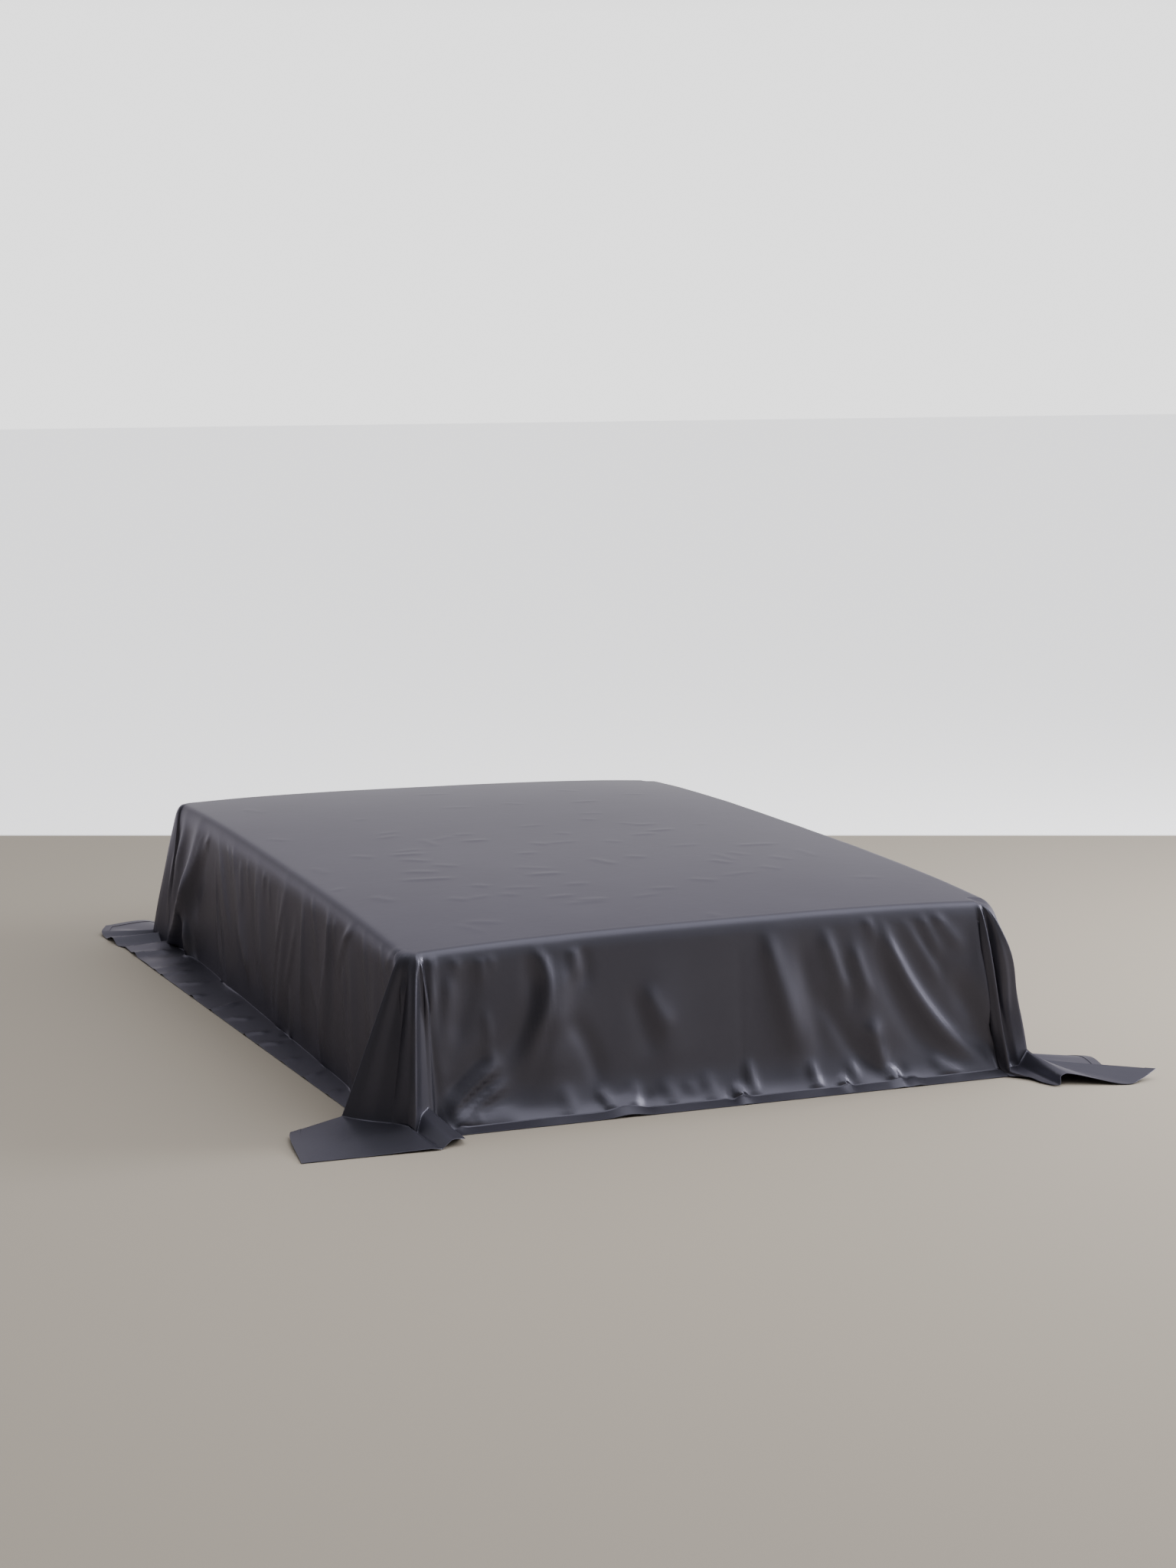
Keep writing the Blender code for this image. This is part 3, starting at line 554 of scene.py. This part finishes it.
def side_path(side, folds, drags, place):
    """One drop line of a straight side, and how far along it the rows of cells cross it."""
    share = (place - side.first) / (side.last - side.first)
    hem_out = side.hem_out_start + (side.hem_out_end - side.hem_out_start) * share
    foot_drag = sum(drag.foot * math.exp(-abs(place - drag.at) / drag.reach) for drag in drags)
    hem_drag = sum(drag.hem * math.exp(-abs(place - drag.at) / drag.reach) for drag in drags)

    def spot(out, shift, height):
        flat = side.outward * out + side.along * (place + shift)
        return np.array((flat[0], flat[1], bed_top(flat[0], flat[1]) if height is None else height))

    start = spot(side.half_out - TOP_MARGIN, 0.0, None)
    edge = spot(side.half_out, 0.0, None)
    foot = spot(side.half_out + side.foot_out, foot_drag, side.foot_up)
    hem = spot(side.half_out + hem_out, hem_drag, CLOTH_LEVEL)
    points, fallen, ran = drop_path(start, edge, foot, hem, side.edge_down, side.turn_up, side.turn_out)
    rows = rows_down(points)
    room = HEM_ROOM * (hem_out - side.foot_out) - HEM_SPARE
    push = fold_out(folds, place, fallen, room) * (1.0 - ran) ** 2
    points[:, :2] += side.outward * push[:, None]
    lift = sum(fold.floor_lift * math.exp(-((place - fold.foot) / fold.width_foot) ** 2) for fold in folds)
    landing = smooth_step((fallen - FOOT_SHARE) / (1.0 - FOOT_SHARE))
    points[:, 2] += lift * np.where(ran > 0.0, 1.0 - LIFT_LOST * ran, landing)
    return points, rows


SHARP_PULL, SMOOTH_PULL = 0.7, 0.5


def through(points, index, sharp=()):
    """A point of the curve through a list of points, at a place counted in points; some are corners."""
    first = min(int(index), len(points) - 2)
    share = index - first
    a, b, c, d = (points[min(max(first + step, 0), len(points) - 1)] for step in (-1, 0, 1, 2))
    leaving = SHARP_PULL * (c - b) if first in sharp else SMOOTH_PULL * (c - a)
    arriving = SHARP_PULL * (c - b) if first + 1 in sharp else SMOOTH_PULL * (d - b)
    return (
        (1.0 + 2.0 * share) * (1.0 - share) ** 2 * b + share * (1.0 - share) ** 2 * leaving
        + share**2 * (3.0 - 2.0 * share) * c + share**2 * (share - 1.0) * arriving
    )


# Where down the drop a corner's lines stand out most in their upper and lower half, and over how much of it
HIGH_BELLY, HIGH_SPAN, LOW_BELLY, LOW_SPAN = 0.35, 0.22, 0.72, 0.20


def corner_fan(corner, side_before, side_after, before, after, reach_before, reach_after):
    """A corner's drop lines, each as points in place and as they lie on the flat cloth."""
    feet = [foot_of(before)] + [np.array(guide[:3]) for guide in corner.guides] + [foot_of(after)]
    hems = [before[-1]] + [np.array(guide[3:6]) for guide in corner.guides] + [after[-1]]
    highs = [0.0] + [guide.high for guide in corner.guides] + [0.0]
    lows = [0.0] + [guide.low for guide in corner.guides] + [0.0]
    turns = [np.array((CORNER_EDGE_DOWN, guide.turn, guide.turn)) for guide in corner.guides]
    turns = [np.array(side_before[4:7]), *turns, np.array(side_after[4:7])]
    gaps = [np.linalg.norm(b - a) for a, b in zip(hems, hems[1:])]
    steps = np.concatenate([[0.0], np.cumsum(gaps)])
    tip = corner.tip
    to_tip = steps[:tip + 1] / steps[tip] * reach_after
    from_tip = reach_after + (steps[tip:] - steps[tip]) / (steps[-1] - steps[tip]) * reach_before
    around = np.concatenate([to_tip, from_tip[1:]])
    spacing = (reach_before + reach_after) / corner.lines
    snapped = np.round(around / spacing)
    for index in range(1, len(snapped)):
        snapped[index] = max(snapped[index], snapped[index - 1] + 1)
    for index in range(len(snapped) - 2, -1, -1):
        snapped[index] = min(snapped[index], snapped[index + 1] - 1)
    snapped += corner.lines - snapped[-1]
    snapped[0] = 0
    top = np.array((corner.sign_x * TOP_X, corner.sign_y * TOP_Y))
    start = np.array((*top, bed_top(*top)))
    from_x = corner.sign_x * corner.sign_y > 0
    made = []
    for line in range(1, corner.lines):
        index = float(np.interp(line, snapped, np.arange(len(snapped))))
        foot, hem = through(feet, index, corner.crisp), through(hems, index, (tip,))
        foot[2], hem[2] = max(foot[2], CLOTH_LEVEL), max(hem[2], CLOTH_LEVEL)
        distance = line * spacing
        forward = min(reach_before, reach_before + reach_after - distance)
        sideways = min(reach_after, distance)
        away = math.hypot(forward, sideways)
        out_x, out_y = (forward / away, sideways / away) if from_x else (sideways / away, forward / away)
        swell = math.sin(math.pi * index / (len(feet) - 1))
        out = np.array((corner.sign_x * out_x, corner.sign_y * out_y))
        flat = top + out * (TOP_MARGIN + corner.shoulder * swell)
        edge = np.array((*flat, bed_top(*flat) - corner.dip * swell))
        points, fallen, ran = drop_path(start, edge, foot, hem, *through(turns, index))
        rows = rows_down(points)
        high, low = through(highs, index, corner.crisp), through(lows, index, corner.crisp)
        belly = high * np.exp(-((fallen - HIGH_BELLY) / HIGH_SPAN) ** 2)
        belly += low * np.exp(-((fallen - LOW_BELLY) / LOW_SPAN) ** 2)
        points[:, :2] += out * belly[:, None]
        share = rows / rows[-1]
        flats = np.outer(share * away, out) + top
        made.append((sample(points, share), np.column_stack([flats, 0.0 * share])))
    return made


def foot_of(points):
    """Where a drop line meets the floor."""
    bottom = points[-RUN_STEPS - TURN_STEPS]
    return np.array((bottom[0], bottom[1], CLOTH_LEVEL))


def lay_skirt():
    """All the drop lines round the bed, in place and as they lie on the flat cloth, row by row."""
    sides = (
        (LEFT, LEFT_FOLDS, LEFT_DRAGS, CELLS_ALONG, "front_left"),
        (FRONT, FRONT_FOLDS, FRONT_DRAGS, CELLS_ACROSS, "front_right"),
        (RIGHT, RIGHT_FOLDS, (), CELLS_ALONG, "back_right"),
        (BACK, BACK_FOLDS, (), CELLS_ACROSS, "back_left"),
    )
    laid = []
    for number, (side, folds, drags, cells, corner) in enumerate(sides):
        for place in np.linspace(side.first, side.last, cells + 1):
            points, rows = side_path(side, folds, drags, place)
            out = side.half_out - TOP_MARGIN + rows
            flats = np.outer(out, side.outward) + side.along * place
            laid.append((sample(points, rows / rows[-1]), np.column_stack([flats, 0.0 * rows])))
        following = sides[(number + 1) % 4]
        before, rows_before = side_path(side, folds, drags, side.last)
        after, rows_after = side_path(following[0], following[1], following[2], following[0].first)
        laid += corner_fan(
            CORNERS[corner], side, following[0], before, after, rows_before[-1], rows_after[-1],
        )
    laid.append(laid[0])
    return np.stack([line[0] for line in laid], axis=1), np.stack([line[1] for line in laid], axis=1)


def lay_top():
    """The cloth's grid over the bed's top."""
    across = np.linspace(-TOP_X, TOP_X, CELLS_ACROSS + 1)
    along = np.linspace(-TOP_Y, TOP_Y, CELLS_ALONG + 1)
    x, y = np.meshgrid(across, along)
    return np.stack([x, y, bed_top(x, y)], axis=2), np.stack([x, y, 0 * x], axis=2)


JOIN_WITHIN = 0.00001


def joined_grids(name, *grids):
    """One mesh from grids of points, joined at their borders, with each point's place on the flat cloth."""
    bm = bmesh.new()
    cut = bm.verts.layers.float_vector.new("cut")
    for grid, flat in grids:
        rows, columns = grid.shape[:2]
        before = len(bm.verts)
        bmesh.ops.create_grid(bm, x_segments=columns - 1, y_segments=rows - 1, size=0.5)
        bm.verts.ensure_lookup_table()
        spots = zip(bm.verts[before:], grid.reshape(-1, 3), flat.reshape(-1, 3), strict=True)
        for vertex, place, on_cloth in spots:
            vertex.co = place
            vertex[cut] = on_cloth
    bmesh.ops.remove_doubles(bm, verts=bm.verts, dist=JOIN_WITHIN)
    bmesh.ops.recalc_face_normals(bm, faces=bm.faces)
    if max(bm.faces, key=lambda face: face.calc_center_median().z).normal.z < 0.0:
        bmesh.ops.reverse_faces(bm, faces=bm.faces)
    mesh = bpy.data.meshes.new(name)
    bm.to_mesh(mesh)
    bm.free()
    made = bpy.data.objects.new(name, mesh)
    bpy.context.scene.collection.objects.link(made)
    return made


def read_vectors(data, name):
    """All the vectors of a mesh's points, as rows of three."""
    values = np.zeros(len(data) * 3)
    data.foreach_get(name, values)
    return values.reshape(-1, 3)


CREASE_TAPER = 0.3


def along_line(spots, line, widths, lean):
    """How much of a crease's height each spot gets: full on the line, nothing beyond its width and ends."""
    best, share = np.full(len(spots), np.inf), np.zeros(len(spots))
    side = np.zeros(len(spots))
    pieces = len(line) - 1
    for number, (start, end) in enumerate(zip(line, line[1:])):
        way = end - start
        far = np.clip((spots - start) @ way / (way @ way), 0.0, 1.0)
        gap = spots - start - far[:, None] * way
        away = np.einsum("ij,ij->i", gap, gap)
        nearer = away < best
        best = np.where(nearer, away, best)
        share = np.where(nearer, (number + far) / pieces, share)
        side = np.where(nearer, np.sign(way[0] * gap[:, 1] - way[1] * gap[:, 0]), side)
    width = (widths[0] + (widths[1] - widths[0]) * share) * (1.0 + lean * side)
    ends = smooth_step(share / CREASE_TAPER) * smooth_step((1.0 - share) / CREASE_TAPER)
    return ends * np.exp(-best / width**2)


CREASE_STEPS = 14
CREASE_REACH = 3.0


def near_line(spots, line, width):
    """Which spots lie close enough to a line for its crease to move them."""
    reach = CREASE_REACH * width
    return np.all((spots > line.min(axis=0) - reach) & (spots < line.max(axis=0) + reach), axis=1)


def press_creases(push, spots, within, creases):
    """Adds the creases of one side to how far the cloth is pushed out."""
    for crease in creases:
        ends = np.array(crease[:6]).reshape(3, 2)
        middle = 2.0 * ends[1] - 0.5 * (ends[0] + ends[2])
        line = bend(ends[0], middle, ends[2], CREASE_STEPS)
        widths = (crease.width_1, crease.width_3)
        near = within & near_line(spots, line, max(widths))
        push[near] += crease.rise * along_line(spots[near], line, widths, crease.lean)


# How far to each side of the bed's edge creases run out, how much a point follows its neighbours, how close
# to the bed's side the cloth may come and how softly it is held off, and its least height off the floor
EDGE_ZONE = 0.030
EASE = 0.5
CLEARANCE, SOFTNESS, FELT = -0.0020, 0.0008, 4.0
LOWEST = 0.0005


def press(sheet):
    """Presses the creases of the sides and the ripples of the top into the sheet, along its own normals."""
    mesh = sheet.data
    co, cut = read_vectors(mesh.vertices, "co"), read_vectors(mesh.attributes["cut"].data, "vector")
    normals = read_vectors(mesh.vertex_normals, "vector")
    push = np.zeros(len(co))
    # Each side's creases, and how far along it they may reach from its middle
    pressed = (
        (FRONT, FRONT_CREASES, 0.80), (LEFT, LEFT_CREASES, 0.99),
        (RIGHT, RIGHT_CREASES, 0.99), (BACK, BACK_CREASES, 0.69),
    )
    for side, creases, reach in pressed:
        along, down = cut[:, :2] @ side.along, cut[:, :2] @ side.outward - side.half_out
        edge = np.outer(along, side.along) + side.outward * side.half_out
        up = bed_top(edge[:, 0], edge[:, 1]) - down
        within = (down > -EDGE_ZONE) & (np.abs(along) < reach)
        press_creases(push, np.column_stack([along, up]), within, creases)
    for ripple in TOP_RIPPLES:
        line = np.array(ripple[:4]).reshape(2, 2)
        near = near_line(cut[:, :2], line, ripple.width)
        push[near] += ripple.rise * along_line(cut[near, :2], line, (ripple.width, ripple.width), 0.0)
    edges = np.zeros(len(mesh.edges) * 2, dtype=int)
    mesh.edges.foreach_get("vertices", edges)
    edges = edges.reshape(-1, 2)
    total, count = np.zeros(len(co)), np.zeros(len(co))
    for one, other in ((edges[:, 0], edges[:, 1]), (edges[:, 1], edges[:, 0])):
        np.add.at(total, one, push[other])
        np.add.at(count, one, 1.0)
    push = (1.0 - EASE) * push + EASE * total / count
    co += normals * push[:, None]
    inside = np.array((HALF_WIDTH, HALF_LENGTH)) + CLEARANCE - np.abs(co[:, :2])
    hung = np.max(np.abs(cut[:, :2]) - (HALF_WIDTH, HALF_LENGTH), axis=1) > EDGE_ZONE
    nearer = inside[:, 0] < inside[:, 1]
    for axis, near in ((0, nearer), (1, ~nearer)):
        caught = hung & near & (inside[:, 1 - axis] > 0.0) & (inside[:, axis] > -FELT * SOFTNESS)
        pushed = SOFTNESS * np.log1p(np.exp(inside[caught, axis] / SOFTNESS))
        co[caught, axis] += np.sign(co[caught, axis]) * pushed
    co[:, 2] = np.maximum(co[:, 2], LOWEST)
    mesh.vertices.foreach_set("co", co.ravel())
    mesh.update()


def vertex_numbers(sheet, grid):
    """Which of the sheet's vertices lies at each point of a grid."""
    tree = KDTree(len(sheet.data.vertices))
    for vertex in sheet.data.vertices:
        tree.insert(vertex.co, vertex.index)
    tree.balance()
    return np.array([[tree.find(spot)[1] for spot in row] for row in grid])


# How far the hem stands above and below the cloth's middle and out past its edge
HEM_ABOVE, HEM_BELOW, HEM_ROUND = 0.0009, 0.0003, 0.0006
HEM_LOWEST = 0.0001
HEM_EDGE = math.radians(35.0)


def turned_hem(sheet, lines):
    """The doubled band along the cloth's border, closed all round, on the sheet's last lines of points."""
    co = read_vectors(sheet.data.vertices, "co")
    normals = read_vectors(sheet.data.vertex_normals, "vector")
    spots, up = co[lines], normals[lines]
    outward = spots[2] - spots[1]
    outward /= np.linalg.norm(outward, axis=1, keepdims=True)
    over, under = spots + up * HEM_ABOVE, spots - up * HEM_BELOW
    rim = spots[2] + outward * HEM_ROUND + 0.5 * up[2] * (HEM_ABOVE - HEM_BELOW)
    ring = np.stack([over[0], over[1], over[2], rim, under[2], under[1], under[0]])
    ring[:, :, 2] = np.maximum(ring[:, :, 2], HEM_LOWEST)
    around, along = ring.shape[:2]
    here = np.arange(around * along).reshape(around, along)
    side, ahead = np.roll(here, -1, axis=0), np.roll(here, -1, axis=1)
    both = np.roll(side, -1, axis=1)
    faces = np.stack([here, side, both, ahead], axis=2).reshape(-1, 4)
    mesh = bpy.data.meshes.new("sheet_hem")
    mesh.from_pydata(ring.reshape(-1, 3).tolist(), [], faces.tolist())
    bm = bmesh.new()
    bm.from_mesh(mesh)
    bmesh.ops.recalc_face_normals(bm, faces=bm.faces)
    bm.to_mesh(mesh)
    bm.free()
    made = bpy.data.objects.new("sheet_hem", mesh)
    bpy.context.scene.collection.objects.link(made)
    mesh.shade_smooth()
    mesh.set_sharp_from_angle(angle=HEM_EDGE)
    return made


def finer(grid, straight_rows=(), straight_columns=()):
    """A grid with a point added between each two, on a smooth curve, or midway along straight borders."""

    def along_first(points, straight):
        steps = np.diff(points, axis=0)
        lengths = np.linalg.norm(steps, axis=2, keepdims=True) + 1e-9
        before = np.concatenate([steps[:1], steps[:-1] * np.minimum(1.0, lengths[1:] / lengths[:-1])])
        after = np.concatenate([steps[1:] * np.minimum(1.0, lengths[:-1] / lengths[1:]), steps[-1:]])
        middle = 0.5 * (points[1:] + points[:-1]) + (before - after) / 16.0
        for column in straight:
            middle[:, column] = 0.5 * (points[1:, column] + points[:-1, column])
        made = np.empty((2 * len(points) - 1, *points.shape[1:]))
        made[::2], made[1::2] = points, middle
        return made

    down = along_first(grid, straight_columns)
    rows = [2 * row if row >= 0 else row for row in straight_rows]
    return along_first(down.swapaxes(0, 1), rows).swapaxes(0, 1)


top, top_flat = lay_top()
skirt, skirt_flat = lay_skirt()
top, top_flat = (finer(grid, (0, -1), (0, -1)) for grid in (top, top_flat))
skirt, skirt_flat = (finer(grid, (0,)) for grid in (skirt, skirt_flat))
sheet = joined_grids("draped_sheet", (top, top_flat), (skirt, skirt_flat))
hem_lines = vertex_numbers(sheet, skirt[-3:, :-1])
press(sheet)
sheet.data.shade_smooth()
hem = turned_hem(sheet, hem_lines)

SATIN_DARK = (0.070, 0.069, 0.089, 1.0)
SATIN_LIGHT = (0.086, 0.085, 0.108, 1.0)


def satin():
    """Charcoal cotton satin: long smooth warp floats that catch the light along the cloth."""
    material, shader, node, join = new_material("charcoal_satin")
    place = node("ShaderNodeTexCoord")
    slubs = node("ShaderNodeTexNoise", Scale=6.0, Detail=4.0, Roughness=0.55)
    crumples = node("ShaderNodeTexNoise", Scale=38.0, Detail=3.0, Roughness=0.5, Distortion=0.6)
    crumpled = node("ShaderNodeBump", Strength=0.10, Distance=0.0020)
    join(place.outputs["Object"], crumples.inputs["Vector"])
    floats = node("ShaderNodeTexWave", bands_direction="DIAGONAL", Scale=420.0, Distortion=1.2)
    woven = node("ShaderNodeBump", Strength=0.03, Distance=0.00003)
    join(crumples.outputs["Fac"], crumpled.inputs["Height"])
    join(place.outputs["Object"], floats.inputs["Vector"])
    join(floats.outputs["Fac"], woven.inputs["Height"])
    join(crumpled.outputs["Normal"], woven.inputs["Normal"])
    join(woven.outputs["Normal"], shader.inputs["Normal"])
    colours = node("ShaderNodeMix", data_type="RGBA")
    colours.inputs[6].default_value = SATIN_DARK
    colours.inputs[7].default_value = SATIN_LIGHT
    join(place.outputs["Object"], slubs.inputs["Vector"])
    join(slubs.outputs["Fac"], colours.inputs[0])
    join(colours.outputs[2], shader.inputs["Base Color"])
    shader.inputs["Metallic"].default_value = 0.72
    shader.inputs["Roughness"].default_value = 0.38
    shader.inputs["IOR"].default_value = 1.30
    shader.inputs["Specular Tint"].default_value = (0.56, 0.53, 0.57, 1.0)
    return material


cloth_satin = satin()
for piece in (sheet, hem):
    piece.data.materials.append(cloth_satin)
    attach(piece, "root")
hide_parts("sheet")

# The floor and the light
# A plain pale studio floor that turns white behind the bed, where it also glows as painted light that
# stands in for a bright wall.
# White walls all round and a wide soft light overhead show the cloth's sheen, with a second soft light on
# the right.
FLOOR_NEAR = (0.356, 0.316, 0.268, 1.0)
# The far floor's white is its own colour, and the far floor also glows in it as painted light.
FLOOR_FAR_WHITE_GLOW = (0.90, 0.90, 0.92, 1.0)
WHITE_GLOW_DISTANCE = 2.385
WHITE_GLOW_SOFTNESS = 0.02
CAMERA_TURN = math.radians(-21.29)
# How bright the room is by the height that one looks at, and again from its dim side to its bright side
ROOM_STRENGTH = 2.12
ROOM_BY_HEIGHT = ((0.100, 1.00), (0.130, 0.58), (0.200, 0.62), (0.250, 0.62), (0.400, 0.62), (0.800, 0.52))
BRIGHT_SIDE = (0.75, 0.47, 0.45)
ROOM_BY_SIDE = ((0.125, 0.04), (0.36, 0.20), (0.52, 0.55), (0.66, 0.75), (0.78, 1.00))


def add_floor():
    bpy.ops.mesh.primitive_plane_add(size=80.0, location=(0.0, 0.0, -0.0005))
    floor = bpy.context.object
    floor.name = "studio_floor"
    material, shader, node, join = new_material("studio_floor")
    place = node("ShaderNodeTexCoord")
    turn = node("ShaderNodeMapping")
    turn.inputs["Rotation"].default_value = (0.0, 0.0, -CAMERA_TURN)
    split = node("ShaderNodeSeparateXYZ")
    white_glow_share = node("ShaderNodeMapRange", interpolation_type="SMOOTHSTEP")
    white_glow_share.inputs["From Min"].default_value = WHITE_GLOW_DISTANCE - WHITE_GLOW_SOFTNESS
    white_glow_share.inputs["From Max"].default_value = WHITE_GLOW_DISTANCE + WHITE_GLOW_SOFTNESS
    mix = node("ShaderNodeMix", data_type="RGBA")
    mix.inputs[6].default_value = FLOOR_NEAR
    mix.inputs[7].default_value = FLOOR_FAR_WHITE_GLOW
    join(place.outputs["Object"], turn.inputs["Vector"])
    join(turn.outputs["Vector"], split.inputs["Vector"])
    join(split.outputs["Y"], white_glow_share.inputs["Value"])
    join(white_glow_share.outputs["Result"], mix.inputs[0])
    join(mix.outputs[2], shader.inputs["Base Color"])
    # Beyond the line the floor glows in its own colour: painted light, though it is no lamp.
    join(mix.outputs[2], shader.inputs["Emission Color"])
    join(white_glow_share.outputs["Result"], shader.inputs["Emission Strength"])
    shader.inputs["Roughness"].default_value = 0.8
    shader.inputs["Specular IOR Level"].default_value = 0.2
    floor.data.materials.append(material)


def add_light(name, place, aim, size, power, colour=(1.0, 1.0, 1.0)):
    data = bpy.data.lights.new(name, "AREA")
    data.shape = "RECTANGLE"
    data.size, data.size_y = size
    data.energy = power
    data.color = colour
    lamp = bpy.data.objects.new(name, data)
    lamp.location = place
    lamp.rotation_euler = (Vector(aim) - Vector(place)).to_track_quat("-Z", "Y").to_euler()
    bpy.context.scene.collection.objects.link(lamp)


def light_room():
    """White walls that are brightest low down, and dim in the corner in front on the left."""
    world = bpy.data.worlds.new("studio")
    world.use_nodes = True
    tree = world.node_tree

    def ramp(source, levels):
        made = tree.nodes.new("ShaderNodeValToRGB")
        made.color_ramp.interpolation = "EASE"
        stops = made.color_ramp.elements
        while len(stops) < len(levels):
            stops.new(1.0)
        for stop, (place, light) in zip(stops, levels, strict=True):
            stop.position = place
            stop.color = (light, light, light, 1.0)
        tree.links.new(source, made.inputs["Fac"])
        return made.outputs["Color"]

    look = tree.nodes.new("ShaderNodeTexCoord")
    split = tree.nodes.new("ShaderNodeSeparateXYZ")
    side = tree.nodes.new("ShaderNodeVectorMath")
    side.operation = "DOT_PRODUCT"
    side.inputs[1].default_value = BRIGHT_SIDE
    half = tree.nodes.new("ShaderNodeMath")
    half.operation = "MULTIPLY_ADD"
    half.inputs[1].default_value = half.inputs[2].default_value = 0.5
    both = tree.nodes.new("ShaderNodeMix")
    both.data_type = "RGBA"
    both.blend_type = "MULTIPLY"
    both.inputs[0].default_value = 1.0
    tree.links.new(look.outputs["Generated"], split.inputs["Vector"])
    tree.links.new(look.outputs["Generated"], side.inputs[0])
    tree.links.new(side.outputs["Value"], half.inputs[0])
    tree.links.new(ramp(split.outputs["Z"], ROOM_BY_HEIGHT), both.inputs[6])
    tree.links.new(ramp(half.outputs["Value"], ROOM_BY_SIDE), both.inputs[7])
    tree.links.new(both.outputs[2], tree.nodes["Background"].inputs["Color"])
    tree.nodes["Background"].inputs["Strength"].default_value = ROOM_STRENGTH
    bpy.context.scene.world = world


add_floor()
light_room()
add_light("overhead", (0.7, -1.2, 3.2), (0.0, -0.3, 0.2), (4.6, 4.0), 84.0)
add_light("right_side", (4.4, -1.3, 2.0), (2.2, -1.2, 0.0), (2.2, 1.8), 270.0)

# The camera
# It stands at the foot end, a little to the left, at eye height.
camera_data = bpy.data.cameras.new("camera")
camera_data.lens = 66.8
camera_data.sensor_width = 36.0
camera = bpy.data.objects.new("camera", camera_data)
camera.location = (-2.4756, -6.6259, 1.6707)
camera.rotation_euler = (math.radians(80.99), 0.0, CAMERA_TURN)
bpy.context.scene.collection.objects.link(camera)
bpy.context.scene.camera = camera
